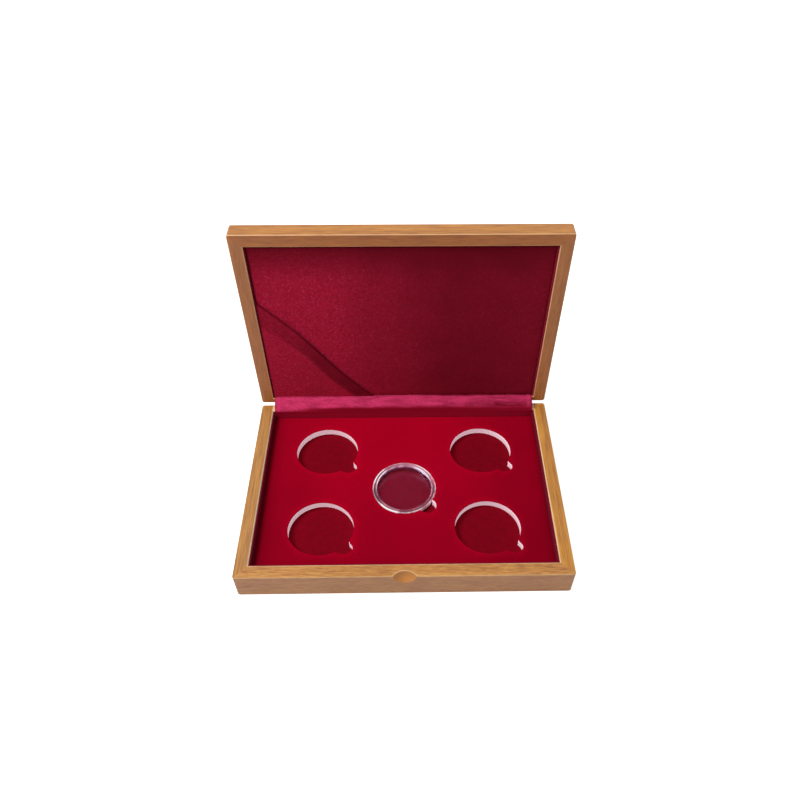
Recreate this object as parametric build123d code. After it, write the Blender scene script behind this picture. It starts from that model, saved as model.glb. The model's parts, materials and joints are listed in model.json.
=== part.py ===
from build123d import *
import math
import os

os.makedirs("parts", exist_ok=True)

# Coin display case: a shallow hinged wooden box with a velvet-covered tray of round wells.
# Millimetres. X to the right, Y to the hinge side, Z up; origin at the centre of the underside.
# The lid is drawn shut and then swung open to its rest pose, upright against the hinge stops.

# ---- case ----
case_width = 225.0
case_depth = 155.0
base_height = 21.8
lid_height = 12.2
rail_thickness = 9.3          # front and side rails, base and lid
base_back_thickness = 6.8
lid_back_thickness = 5.0
corner_radius = 1.8           # upright corners of the mitred frames
edge_easing = 0.5             # bevel that takes the sharpness off the long edges
panel_thickness = 3.0         # bottom panel and lid panel, flush in their rebates
panel_border = 4.8            # wood left outside a panel on the front and sides
panel_border_back = 3.0       # and on the thinner back rails
panel_fit = 0.15              # clearance round a panel in its rebate

# ---- thumb scoop in the front rail ----
scoop_radius = 9.5
scoop_width = 15.4            # across the top front edge

# ---- base filling, from the bottom panel up ----
floor_board_thickness = 3.6
velvet_pile = 0.8             # velvet with its backing, wherever it lies flat
foam_thickness = 6.5
tray_skin = 0.7               # velvet glued to the foam
fill_fit = 0.1                # clearance of boards and foam to whatever stands beside them

# ---- wall linings: velvet on card ----
lining_thickness = 1.2
lining_setback = 0.6          # edge of a lining behind the mating plane

# ---- coin capsule and the wells cut for it ----
capsule_diameter = 45.8
capsule_height = 7.6
capsule_plate = 1.2           # the two clear discs
coin_seat_diameter = 40.2
ring_wall = 1.5
capsule_fit = 0.1             # radial clearance, skirt over ring
rim_bevel = 0.4               # on both outer rims
well_clearance = 0.2          # radial clearance, capsule in well
well_to_side_rail = 21.6      # rim of a corner well to the rail
well_to_front_rail = 10.1
notch_radius = 6.3
notch_beyond_rim = 0.1        # notch centre outside the well's rim
notch_angle = -44.0           # degrees, towards the front right

# ---- lid lining, a pad that all but fills the lid ----
lid_lining_depth = 1.8        # its velvet face behind the mating plane

# ---- certificate pocket, a velvet triangle over the hinge-side left corner of the lid ----
pocket_height = 92.7          # along the side rail
pocket_width = 78.2           # along the back rail
pocket_cloth = 0.7
pocket_opening = 0.5          # depth of the slot behind the cloth
pocket_hem = 5.0              # width glued down along the two walls

# ---- hinges ----
lid_gap = 0.3                 # between the mating planes when shut
pin_offset = 1.0              # pin axis behind the back face
pin_radius = 0.75
pin_fit = 0.04                # radial clearance, knuckle on pin
knuckle_radius = 1.6
knuckle_clearance = 0.15      # knuckles to the coved rails
hinge_length = 18.0
lid_knuckle_length = 7.0
knuckle_gap = 0.1             # end play between knuckles
hinge_from_end = 37.5         # hinge centre to the end of the case
leaf_thickness = 0.8
leaf_reach = 5.0              # leaf edge from the pin axis
leaf_fit = 0.1                # leaf edge to the sides of its gain
heel_reach = 2.8              # stop heel of the lid leaf past the pin axis
heel_offset = 0.05            # heel face from the plane of the pin axis
stop_clearance = 0.02         # heel to stop bar at rest
bar_top_gap = 0.65            # stop bar below the knuckle
bar_height = 1.5
screw_shank_radius = 0.7
screw_head_radius = 1.35      # flush, its cone as deep as the leaf
screw_length = 6.0
screw_fit = 0.03              # radial clearance in wood and leaf
screw_from_pin = 3.4
screw_spacing = 11.0

# ---- cover strip over the hinge line ----
strip_thickness = 0.7
strip_end_gap = 1.45          # strip end to the side rail
strip_fit = 0.06              # strip off the wood it lies on
strip_tuck = 2.4              # how far the strip runs in beside the lining pad
strip_bottom_gap = 1.6        # strip end above the floor velvet
strip_bulge = 0.9             # slack of the strip off the straight line between the two rails
strip_bend = 1.6              # radius of its bends, at mid thickness

# ---- levels and faces that follow ----
half_width = case_width / 2
half_depth = case_depth / 2
inner_x = half_width - rail_thickness
inner_front = -half_depth + rail_thickness
base_inner_back = half_depth - base_back_thickness
lid_inner_back = half_depth - lid_back_thickness
floor_board_bottom = panel_thickness
floor_board_top = floor_board_bottom + floor_board_thickness
floor_top = floor_board_top + velvet_pile
foam_top = floor_top + foam_thickness
tray_top = foam_top + tray_skin
pin_y = half_depth + pin_offset
pin_z = base_height + lid_gap / 2
lid_bottom = base_height + lid_gap
lid_top = lid_bottom + lid_height
lid_lining_face = lid_bottom + lid_lining_depth
lid_board_bottom = lid_lining_face + velvet_pile
lid_board_top = lid_top - panel_thickness
strip_space = strip_thickness + 2 * strip_fit
cove_radius = knuckle_radius + knuckle_clearance
hinge_xs = [-half_width + hinge_from_end, half_width - hinge_from_end]
well_radius = capsule_diameter / 2 + well_clearance
well_x = inner_x - well_to_side_rail - well_radius
well_y = -inner_front - well_to_front_rail - well_radius
corner_wells = [(sx * well_x, sy * well_y) for sy in (-1, 1) for sx in (-1, 1)]
wells = [(0.0, 0.0)] + corner_wells


def slab(x0, x1, y0, y1, z0, z1):
    """Box between two corners."""
    box = Box(x1 - x0, y1 - y0, z1 - z0)
    return Pos((x0 + x1) / 2, (y0 + y1) / 2, (z0 + z1) / 2) * box


def rod(x0, x1, y, z, radius):
    """Cylinder lying along X."""
    return Pos((x0 + x1) / 2, y, z) * Rot(0, 90, 0) * Cylinder(radius, x1 - x0)


def one_solid(shape):
    """The single solid of a boolean result."""
    solids = shape.solids()
    return solids.sort_by(SortBy.VOLUME)[-1]


# ---------------------------------------------------------------- frames

def hollow_frame(bottom, height, back, mates_upward):
    """Mitred frame in one piece, eased, with the panel's rebate on the side away from the mating face."""
    top = bottom + height
    block = slab(-half_width, half_width, -half_depth, half_depth, bottom, top)
    block = fillet(block.edges().filter_by(Axis.Z), corner_radius)
    hole = slab(-inner_x, inner_x, inner_front, half_depth - back, bottom - 1, top + 1)
    frame = block - hole
    by_height = frame.faces().sort_by(Axis.Z)
    frame = chamfer(by_height[0].outer_wire().edges() + by_height[-1].outer_wire().edges(), edge_easing)
    rebate_z = (bottom - 1, bottom + panel_thickness) if mates_upward else (top - panel_thickness, top + 1)
    rebate = slab(
        -half_width + panel_border,
        half_width - panel_border,
        -half_depth + panel_border,
        half_depth - panel_border_back,
        *rebate_z,
    )
    return frame - rebate


def mitred_rails(frame, back, mating_z):
    """The four rails of a frame, parted along the mitres, with their inner mating edges eased."""
    t = rail_thickness
    spread = 1.05
    corners = {
        "fl": ((-half_width, -half_depth), (t, t)),
        "fr": ((half_width, -half_depth), (-t, t)),
        "bl": ((-half_width, half_depth), (t, -back)),
        "br": ((half_width, half_depth), (-t, -back)),
    }
    outer = {key: (p[0] - m[0], p[1] - m[1]) for key, (p, m) in corners.items()}
    inner = {key: (p[0] + spread * m[0], p[1] + spread * m[1]) for key, (p, m) in corners.items()}
    sides = {"front": ("fl", "fr"), "back": ("bl", "br"), "left": ("fl", "bl"), "right": ("fr", "br")}
    rails = {}
    for side, (a, b) in sides.items():
        outline = Polyline(outer[a], outer[b], inner[b], inner[a], close=True)
        cutter = Pos(0, 0, -1) * extrude(make_face(outline), lid_top + 2)
        rail = one_solid(frame & cutter)
        along = Axis.X if side in ("front", "back") else Axis.Y
        inner_edge = rail.edges().filter_by(along).sort_by_distance((0, 0, mating_z))[0]
        rails[side] = one_solid(chamfer(inner_edge, edge_easing))
    return rails


def panel(bottom):
    """Flat panel for a rebate."""
    edge = panel_border + panel_fit
    edge_back = panel_border_back + panel_fit
    return slab(
        -half_width + edge,
        half_width - edge,
        -half_depth + edge,
        half_depth - edge_back,
        bottom,
        bottom + panel_thickness,
    )


def wall_linings(inner_back, foot, crest):
    """Front, left and right linings; the crest is the eased free edge, above or below the foot."""
    low = min(foot, crest)
    high = max(foot, crest)
    inside = inner_x - lining_thickness
    front_inside = inner_front + lining_thickness
    plain = {
        "front": slab(-inner_x, inner_x, inner_front, front_inside, low, high),
        "left": slab(-inner_x, -inside, front_inside, inner_back, low, high),
        "right": slab(inside, inner_x, front_inside, inner_back, low, high),
    }
    linings = {}
    for side, piece in plain.items():
        along = Axis.X if side == "front" else Axis.Y
        long_edges = piece.edges().filter_by(along).sort_by(Axis.Z)
        crest_edges = long_edges[2:] if crest > foot else long_edges[:2]
        linings[side] = chamfer(crest_edges, 0.3 * lining_thickness)
    return linings


# ---------------------------------------------------------------- filling

def well_cutter(x, y, bottom, top):
    """Round well with its finger notch."""
    angle = math.radians(notch_angle)
    reach = well_radius + notch_beyond_rim
    middle = (bottom + top) / 2
    well = Pos(x, y, middle) * Cylinder(well_radius, top - bottom)
    notch_at = Pos(x + reach * math.cos(angle), y + reach * math.sin(angle), middle)
    return well + notch_at * Cylinder(notch_radius, top - bottom)


def tray_layer(bottom, top):
    """One layer of the tray, with every well through it."""
    side = inner_x - lining_thickness - fill_fit
    front = inner_front + lining_thickness + fill_fit
    back = base_inner_back - strip_space - fill_fit
    layer = slab(-side, side, front, back, bottom, top)
    for x, y in wells:
        layer -= well_cutter(x, y, bottom - 1, top + 1)
    return one_solid(layer)


def inner_sheet(inset, back, bottom, top):
    """Board or cloth that fills the frame's opening, held in by the linings on its walls."""
    side = inner_x - inset - fill_fit
    return slab(-side, side, inner_front + inset + fill_fit, back - fill_fit, bottom, top)


def certificate_pocket():
    """Velvet triangle glued down along the two walls and open along the slope."""
    face = lid_lining_face
    outer = face - pocket_opening - pocket_cloth
    side = -inner_x + lining_thickness + fill_fit
    back = lid_inner_back - strip_space - fill_fit
    triangle = [(side, back), (side + pocket_width, back), (side, back - pocket_height)]
    flap = Pos(0, 0, outer) * extrude(make_face(Polyline(*triangle, close=True)), face - outer)
    slot = slab(
        side + pocket_hem,
        side + pocket_width + 1,
        back - pocket_height - 1,
        back - pocket_hem,
        face - pocket_opening,
        face + 1,
    )
    return one_solid(flap - slot)


def disc(radius, bottom, top):
    """Upright cylinder on the case's centre line."""
    return Pos(0, 0, (bottom + top) / 2) * Cylinder(radius, top - bottom)


def capsule_halves():
    """Lower half with the coin ring and upper half with the skirt that slides over it."""
    radius = capsule_diameter / 2
    ring_inner = coin_seat_diameter / 2
    ring_outer = ring_inner + ring_wall
    skirt_inner = ring_outer + capsule_fit
    bottom = floor_top
    top = bottom + capsule_height
    flange_top = bottom + capsule_plate
    roof = top - capsule_plate
    ring = disc(ring_outer, flange_top, roof - 0.4) - disc(ring_inner, flange_top - 1, roof + 1)
    lower = chamfer(disc(radius, bottom, flange_top).edges().sort_by(Axis.Z)[0], rim_bevel) + ring
    block = disc(radius, flange_top, top)
    block = chamfer(block.edges().filter_by(GeomType.CIRCLE).sort_by(Axis.Z)[-1], rim_bevel)
    upper = block - disc(skirt_inner, flange_top - 1, roof)
    return one_solid(lower), one_solid(upper)


# ---------------------------------------------------------------- hinges

def leaf_outline_x(x, length):
    """Ends of a length centred on a hinge."""
    return x - length / 2, x + length / 2


def knuckle_spans(x):
    """X ranges of the base's two knuckles and of the lid's one between them."""
    start, end = leaf_outline_x(x, hinge_length)
    mid_start, mid_end = leaf_outline_x(x, lid_knuckle_length)
    base = [(start, mid_start - knuckle_gap), (mid_end + knuckle_gap, end)]
    return base, (mid_start, mid_end)


def screw_axes(x):
    """X positions of a leaf's two screws."""
    return [x - screw_spacing / 2, x + screw_spacing / 2]


def leaf_plate(x, low, high):
    """Leaf between two levels, cut back round the knuckles."""
    start, end = leaf_outline_x(x, hinge_length)
    plate = slab(start, end, pin_y - leaf_reach, pin_y, low, high)
    return plate - rod(start - 1, end + 1, pin_y, pin_z, cove_radius)


def knuckle(span, leaf_low, leaf_high):
    """One knuckle with the web that joins it to its leaf."""
    barrel = rod(span[0], span[1], pin_y, pin_z, knuckle_radius)
    web = slab(span[0], span[1], pin_y - cove_radius - 0.4, pin_y, leaf_low, leaf_high)
    return barrel + web


def countersink(x, y, face_z, inward, clearance):
    """Screw shank and head as one shape; inward is -1 to run down and +1 to run up."""
    head = screw_head_radius + clearance
    shank = screw_shank_radius + clearance
    cone_z = face_z + inward * leaf_thickness / 2
    flip = Rot(180, 0, 0) if inward > 0 else Rot(0, 0, 0)
    cone = Pos(x, y, cone_z) * flip * Cone(shank, head, leaf_thickness)
    straight = screw_length - leaf_thickness
    shank_z = face_z + inward * (leaf_thickness + straight / 2)
    return cone + Pos(x, y, shank_z) * Cylinder(shank, straight)


def base_leaf(x):
    """Lower leaf: plate, two knuckles and the bar that the lid's heel stops against."""
    spans, _ = knuckle_spans(x)
    high = base_height
    low = high - leaf_thickness
    leaf = leaf_plate(x, low, high)
    for span in spans:
        leaf += knuckle(span, low, high)
    start, end = leaf_outline_x(x, hinge_length)
    bar_top = pin_z - knuckle_radius - bar_top_gap
    bar_back = pin_y + heel_offset - stop_clearance
    leaf += slab(start, end, half_depth, bar_back, bar_top - bar_height, bar_top)
    for span in spans:
        leaf += slab(span[0], span[1], half_depth, bar_back, bar_top - 0.1, pin_z)
    leaf -= rod(start - 1, end + 1, pin_y, pin_z, pin_radius + pin_fit)
    for sx in screw_axes(x):
        leaf -= countersink(sx, pin_y - screw_from_pin, high, -1, screw_fit)
    return one_solid(leaf)


def lid_leaf(x):
    """Upper leaf, drawn shut: plate, one knuckle and the heel behind it."""
    _, span = knuckle_spans(x)
    low = lid_bottom
    high = low + leaf_thickness
    leaf = leaf_plate(x, low, high) + knuckle(span, low, high)
    heel_low = pin_z + heel_offset
    leaf += slab(span[0], span[1], pin_y, pin_y + heel_reach, heel_low, heel_low + leaf_thickness)
    leaf -= rod(span[0] - 1, span[1] + 1, pin_y, pin_z, pin_radius + pin_fit)
    for sx in screw_axes(x):
        leaf -= countersink(sx, pin_y - screw_from_pin, low, 1, screw_fit)
    return one_solid(leaf)


def leaf_gain(x, low, high):
    """Recess for a leaf, with the cove for the knuckles."""
    start, end = leaf_outline_x(x, hinge_length + 2 * leaf_fit)
    reach = leaf_reach + leaf_fit
    gain = slab(start, end, pin_y - reach, pin_y, low, high)
    return gain + rod(start, end, pin_y, pin_z, cove_radius)


def fit_hinges(base_back, lid_back):
    """Both back rails with their gains, coves and screw holes."""
    for x in hinge_xs:
        base_back -= leaf_gain(x, base_height - leaf_thickness, base_height + 1)
        lid_back -= leaf_gain(x, lid_bottom - 1, lid_bottom + leaf_thickness)
        for sx in screw_axes(x):
            base_back -= countersink(sx, pin_y - screw_from_pin, base_height, -1, screw_fit)
            lid_back -= countersink(sx, pin_y - screw_from_pin, lid_bottom, 1, screw_fit)
    return one_solid(base_back), one_solid(lid_back)


def hinge_pin(x):
    """Plain pin, flush with the outer knuckles."""
    start, end = leaf_outline_x(x, hinge_length)
    return rod(start, end, pin_y, pin_z, pin_radius)


# ---------------------------------------------------------------- opening the lid

def opened(shape):
    """Swing a lid piece from shut to upright about the pins."""
    return Pos(0, pin_y, pin_z) * Rot(-90, 0, 0) * Pos(0, -pin_y, -pin_z) * shape


def when_open(y, z):
    """Where a shut-lid point (y, z) goes when the lid is open."""
    return pin_y + (z - pin_z), pin_z - (y - pin_y)


def cover_strip():
    """Velvet strip with the lid open: in beside the lid's pad, over both back rails, down behind the tray."""
    rest = strip_thickness / 2 + strip_fit
    lining_y, ledge_z = when_open(lid_inner_back, lid_lining_face)
    mate_y, _ = when_open(lid_inner_back, lid_bottom)
    upper_end = (lining_y + strip_tuck, ledge_z + rest)
    lid_lip = (mate_y, ledge_z + rest)
    base_lip = (base_inner_back - rest, base_height + rest)
    lower_end = (base_inner_back - rest, floor_top + strip_bottom_gap)
    run = (base_lip[0] - lid_lip[0], base_lip[1] - lid_lip[1])
    length = math.hypot(*run)
    slack_y = (lid_lip[0] + base_lip[0]) / 2 + strip_bulge * run[1] / length
    slack_z = (lid_lip[1] + base_lip[1]) / 2 - strip_bulge * run[0] / length
    run_of_cloth = FilletPolyline(upper_end, lid_lip, (slack_y, slack_z), base_lip, lower_end, radius=strip_bend)
    section = run_of_cloth.wire().offset_2d(strip_thickness / 2, side=Side.BOTH)
    side = inner_x - strip_end_gap
    plane = Plane(origin=(-side, 0, 0), x_dir=(0, 1, 0), z_dir=(1, 0, 0))
    return one_solid(extrude(plane * make_face(section), 2 * side))


# ---------------------------------------------------------------- all pieces

parts = {}

base_frame = hollow_frame(0, base_height, base_back_thickness, True)
base_rails = mitred_rails(base_frame, base_back_thickness, base_height)
lid_frame = hollow_frame(lid_bottom, lid_height, lid_back_thickness, False)
lid_rails = mitred_rails(lid_frame, lid_back_thickness, lid_bottom)

scoop_behind = math.sqrt(scoop_radius**2 - (scoop_width / 2) ** 2)
scoop = Pos(0, -half_depth - scoop_behind, base_height) * Sphere(scoop_radius)
base_rails["front"] = one_solid(base_rails["front"] - scoop)
base_rails["back"], lid_rails["back"] = fit_hinges(base_rails["back"], lid_rails["back"])

for side, rail in base_rails.items():
    parts[f"base_{side}_rail"] = rail
for side, rail in lid_rails.items():
    parts[f"lid_{side}_rail"] = opened(rail)

parts["base_bottom_panel"] = panel(0)
parts["lid_top_panel"] = opened(panel(lid_top - panel_thickness))

for side, piece in wall_linings(base_inner_back, floor_top, base_height - lining_setback).items():
    parts[f"base_wall_lining_{side}"] = piece
for side, piece in wall_linings(lid_inner_back, lid_board_top, lid_bottom + lining_setback).items():
    parts[f"lid_wall_lining_{side}"] = opened(piece)

lid_board_back = lid_inner_back - strip_space
parts["floor_board"] = inner_sheet(0, base_inner_back, floor_board_bottom, floor_board_top)
parts["floor_velvet"] = inner_sheet(0, base_inner_back, floor_board_top, floor_top)
parts["tray_foam"] = tray_layer(floor_top, foam_top)
parts["tray_velvet"] = tray_layer(foam_top, tray_top)
lid_board = inner_sheet(lining_thickness, lid_board_back, lid_board_bottom, lid_board_top)
parts["lid_lining_board"] = opened(lid_board)
lid_velvet = inner_sheet(lining_thickness, lid_board_back, lid_lining_face, lid_board_bottom)
parts["lid_lining_velvet"] = opened(lid_velvet)
parts["lid_pocket"] = opened(certificate_pocket())

for side, x in zip(("left", "right"), hinge_xs):
    parts[f"hinge_base_leaf_{side}"] = base_leaf(x)
    parts[f"hinge_lid_leaf_{side}"] = opened(lid_leaf(x))
    parts[f"hinge_pin_{side}"] = hinge_pin(x)

screw_y = pin_y - screw_from_pin
screw_xs = [sx for x in hinge_xs for sx in screw_axes(x)]
base_screws = [countersink(sx, screw_y, base_height, -1, 0.0) for sx in screw_xs]
parts["hinge_base_screws"] = Compound(children=[one_solid(piece) for piece in base_screws])
lid_screws = [opened(countersink(sx, screw_y, lid_bottom, 1, 0.0)) for sx in screw_xs]
parts["hinge_lid_screws"] = Compound(children=[one_solid(piece) for piece in lid_screws])

parts["hinge_cover_strip"] = cover_strip()
parts["capsule_base"], parts["capsule_cap"] = capsule_halves()

for name, shape in parts.items():
    export_step(shape, f"parts/{name}.step")
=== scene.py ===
"""Finishes, cloth and light for a hinged wooden coin display case.

The rigid pieces (rails, panels, hinges, capsule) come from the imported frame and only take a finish
here. Everything soft (tray, linings, corner pocket, hinge cover) is modelled below, in the same
frame: metres, X to the right, Y towards the hinges, Z up, the lid standing open.
"""

import json
import logging
import math
from dataclasses import dataclass, field
from enum import Enum
from typing import Callable, Dict, List, Optional, Sequence, Tuple, Union

import bmesh
import bpy
from mathutils import Matrix, Vector, noise
from mathutils.geometry import delaunay_2d_cdt

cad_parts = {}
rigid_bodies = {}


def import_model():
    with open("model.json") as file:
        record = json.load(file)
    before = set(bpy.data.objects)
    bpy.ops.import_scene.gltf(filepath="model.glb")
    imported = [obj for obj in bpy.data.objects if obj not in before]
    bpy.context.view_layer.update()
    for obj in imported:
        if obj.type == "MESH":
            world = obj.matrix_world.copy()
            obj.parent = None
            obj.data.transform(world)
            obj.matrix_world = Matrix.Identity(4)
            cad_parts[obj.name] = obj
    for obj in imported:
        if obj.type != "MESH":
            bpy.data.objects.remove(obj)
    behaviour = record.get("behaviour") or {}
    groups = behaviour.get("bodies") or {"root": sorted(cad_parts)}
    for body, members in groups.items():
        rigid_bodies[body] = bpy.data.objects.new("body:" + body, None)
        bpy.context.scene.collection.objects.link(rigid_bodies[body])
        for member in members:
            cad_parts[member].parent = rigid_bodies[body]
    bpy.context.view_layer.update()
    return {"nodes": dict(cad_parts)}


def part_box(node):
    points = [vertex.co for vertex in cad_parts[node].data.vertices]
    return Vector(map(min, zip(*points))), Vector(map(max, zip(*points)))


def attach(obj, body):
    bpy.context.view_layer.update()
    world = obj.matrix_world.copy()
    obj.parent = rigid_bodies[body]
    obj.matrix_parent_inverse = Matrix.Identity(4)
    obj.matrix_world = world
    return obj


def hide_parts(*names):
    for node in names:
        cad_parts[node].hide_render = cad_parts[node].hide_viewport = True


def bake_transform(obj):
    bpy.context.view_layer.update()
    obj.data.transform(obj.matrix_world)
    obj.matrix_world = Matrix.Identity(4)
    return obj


log = logging.getLogger("coin_case")

MM = 0.001
# Name of the attribute that darkens a velvet: pile that lies over, and painted shade.
PILE_LEAN_AND_SHADE = "pile_lean_and_shade"

Point2 = Tuple[float, float]
Point3 = Tuple[float, float, float]
Colour = Tuple[float, float, float, float]
Socket = bpy.types.NodeSocket
Inputs = Union[Sequence[object], Dict[object, object]]


class Body(Enum):
    """The bodies that cloth rides on."""

    BASE = "base"
    LID = "lid"


class Hold(Enum):
    """How a cloth is kept in place."""

    LAID = "laid"
    STRETCHED = "stretched"


class Grain(Enum):
    """The axis that a board's grain runs along."""

    X = "x"
    Y = "y"
    Z = "z"


def linear(hex_colour: str) -> Colour:
    """Turns an sRGB hex colour into linear light.

    Args:
        hex_colour: six hex digits, with or without a leading hash.

    Returns:
        Linear red, green, blue and an alpha of one.
    """
    digits = hex_colour.lstrip("#")
    channels = []
    for start in (0, 2, 4):
        value = int(digits[start:start + 2], 16) / 255
        channels.append(value / 12.92 if value <= 0.04045 else ((value + 0.055) / 1.055) ** 2.4)
    return (channels[0], channels[1], channels[2], 1.0)


def smooth_step(low: float, high: float, value: float) -> float:
    """Eases from 0 at low to 1 at high.

    Args:
        low: where the ramp starts.
        high: where it ends; may be below low for a falling ramp.
        value: the value to ease.

    Returns:
        A share from 0 to 1.
    """
    share = min(1.0, max(0.0, (value - low) / (high - low)))
    return share * share * (3 - 2 * share)


# ---------------------------------------------------------------------------------------------
# Finishes
# ---------------------------------------------------------------------------------------------


# Settings of the sums, ramps and mixes that the finishes share.
TIMES = {"operation": "MULTIPLY"}
PLUS = {"operation": "ADD"}
LESS = {"operation": "SUBTRACT"}
LARGER = {"operation": "MAXIMUM"}
SIZE_OF = {"operation": "ABSOLUTE"}
EASED = {"interpolation_type": "SMOOTHSTEP"}
# A mix node's colour sockets share their names with its number sockets, so they go by number:
# 0 the factor, 6 and 7 the two colours, and 2 the result.
COLOURS = {"data_type": "RGBA", "out": 2}
WHITE: Colour = (1.0, 1.0, 1.0, 1.0)


class Graph:
    """The node tree of one material or world."""

    def __init__(self, owner: bpy.types.ID) -> None:
        """Starts with an empty tree.

        Args:
            owner: the material or world.
        """
        owner.use_nodes = True
        self.owner = owner
        self.tree = owner.node_tree
        self.tree.nodes.clear()

    def add(self, kind: str, inputs: Inputs = (), out: object = 0, **settings: object) -> Socket:
        """Adds one node with its settings and links.

        Args:
            kind: the node's type name after ShaderNode.
            inputs: what its inputs take, in order, or by name or number; a socket is linked.
            out: name or number of the output to hand back.
            **settings: attributes of the node itself.

        Returns:
            The output, or None from a node that has none.
        """
        made = self.tree.nodes.new(f"ShaderNode{kind}")
        for key, value in settings.items():
            setattr(made, key, value)
        for key, value in (inputs.items() if isinstance(inputs, dict) else enumerate(inputs)):
            if isinstance(value, Socket):
                self.tree.links.new(value, made.inputs[key])
            else:
                made.inputs[key].default_value = value
        return made.outputs[out] if made.outputs else None

    def pattern(
        self, sizes: Point3, detail: float, roughness: float, shift: Point3 = (0.0, 0.0, 0.0)
    ) -> Socket:
        """Cloudy pattern fixed to the piece.

        Args:
            sizes: size of its spots along each axis, in millimetres.
            detail: how many finer layers it has.
            roughness: weight of the finer layers.
            shift: offset, so that two patterns of one piece differ.

        Returns:
            A value around a half.
        """
        scale = tuple(1 / (size * MM) for size in sizes)
        place = self.add("TexCoord", out="Object")
        placed = self.add("Mapping", {"Vector": place, "Scale": scale, "Location": shift})
        noisy = {"Vector": placed, "Scale": 1.0, "Detail": detail, "Roughness": roughness}
        return self.add("TexNoise", noisy)

    def parts(self, kind: str) -> List[Socket]:
        """X, Y and Z of one of the piece's own coordinates.

        Args:
            kind: Object for the place in metres, Normal for the way the surface faces.

        Returns:
            Three sockets.
        """
        split = self.add("SeparateXYZ", [self.add("TexCoord", out=kind)])
        return [split.node.outputs[axis] for axis in "XYZ"]

    def facing(self, axis: int) -> Socket:
        """Whether the surface faces along one of the piece's axes, either way.

        Args:
            axis: 0, 1 or 2.

        Returns:
            A socket from 0 to 1.
        """
        squarely = self.add("Math", [self.parts("Normal")[axis]], **SIZE_OF)
        return self.add("MapRange", [squarely, 0.6, 0.8], **EASED)

    def bevels(self) -> Socket:
        """Finds the narrow faces that lie at 45 degrees along the piece's edges.

        Returns:
            A socket that is 1 on them and 0 elsewhere.
        """
        sizes = [self.add("Math", [part], **SIZE_OF) for part in self.parts("Normal")]
        largest = self.add("Math", [sizes[0], self.add("Math", sizes[1:], **LARGER)], **LARGER)
        return self.add("MapRange", [largest, 0.71, 0.78, 1.0, 0.0], **EASED)

    def distance(self, point: Point3) -> Socket:
        """Distance of the surface from a point in the piece's own coordinates.

        Args:
            point: the point in millimetres.

        Returns:
            A socket in metres.
        """
        ends = [self.add("TexCoord", out="Object"), tuple(value * MM for value in point)]
        return self.add("VectorMath", ends, "Value", operation="DISTANCE")

    def beyond(self, opening: "Opening") -> Socket:
        """Distance of the surface outside a rectangular opening.

        Args:
            opening: the opening.

        Returns:
            A socket in metres, below 0 inside the opening.
        """
        place = self.parts("Object")
        middle = (opening.low + opening.high) / 2 * MM
        across = self.add("Math", [place[0]], **SIZE_OF)
        side = self.add("Math", [across, opening.half_width * MM], **LESS)
        off_middle = self.add("Math", [place[opening.axis], middle], **LESS)
        run = self.add("Math", [off_middle], **SIZE_OF)
        end = self.add("Math", [run, (opening.high - opening.low) / 2 * MM], **LESS)
        return self.add("Math", [side, end], **LARGER)


@dataclass(frozen=True)
class Finish:
    """A named surface that makes its own material."""

    name: str

    def build(self) -> bpy.types.Material:
        """Makes the material.

        Returns:
            The material.
        """
        graph = Graph(bpy.data.materials.new(self.name))
        graph.add("OutputMaterial", [self.surface(graph)])
        return graph.owner

    def surface(self, graph: Graph) -> Socket:
        """Shader of the finish.

        Args:
            graph: the material's graph.

        Returns:
            The shader socket.
        """
        raise NotImplementedError


@dataclass(frozen=True)
class Opening:
    """The rectangle that a frame of rails surrounds, in millimetres."""

    half_width: float
    axis: int
    low: float
    high: float


@dataclass(frozen=True)
class Scoop:
    """The thumb scoop in the front rail: its ball's middle and reach, in millimetres."""

    middle: Point3 = (0.0, -83.07, 21.8)
    radius: float = 9.7
    lip: float = 0.5
    fade: float = 0.5
    # How strong the painted highlight on the scoop's lip is.
    lip_highlight: float = 0.4
    fresh_pale: str = "#c88338"
    fresh_deep: str = "#aa6a2c"


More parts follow.
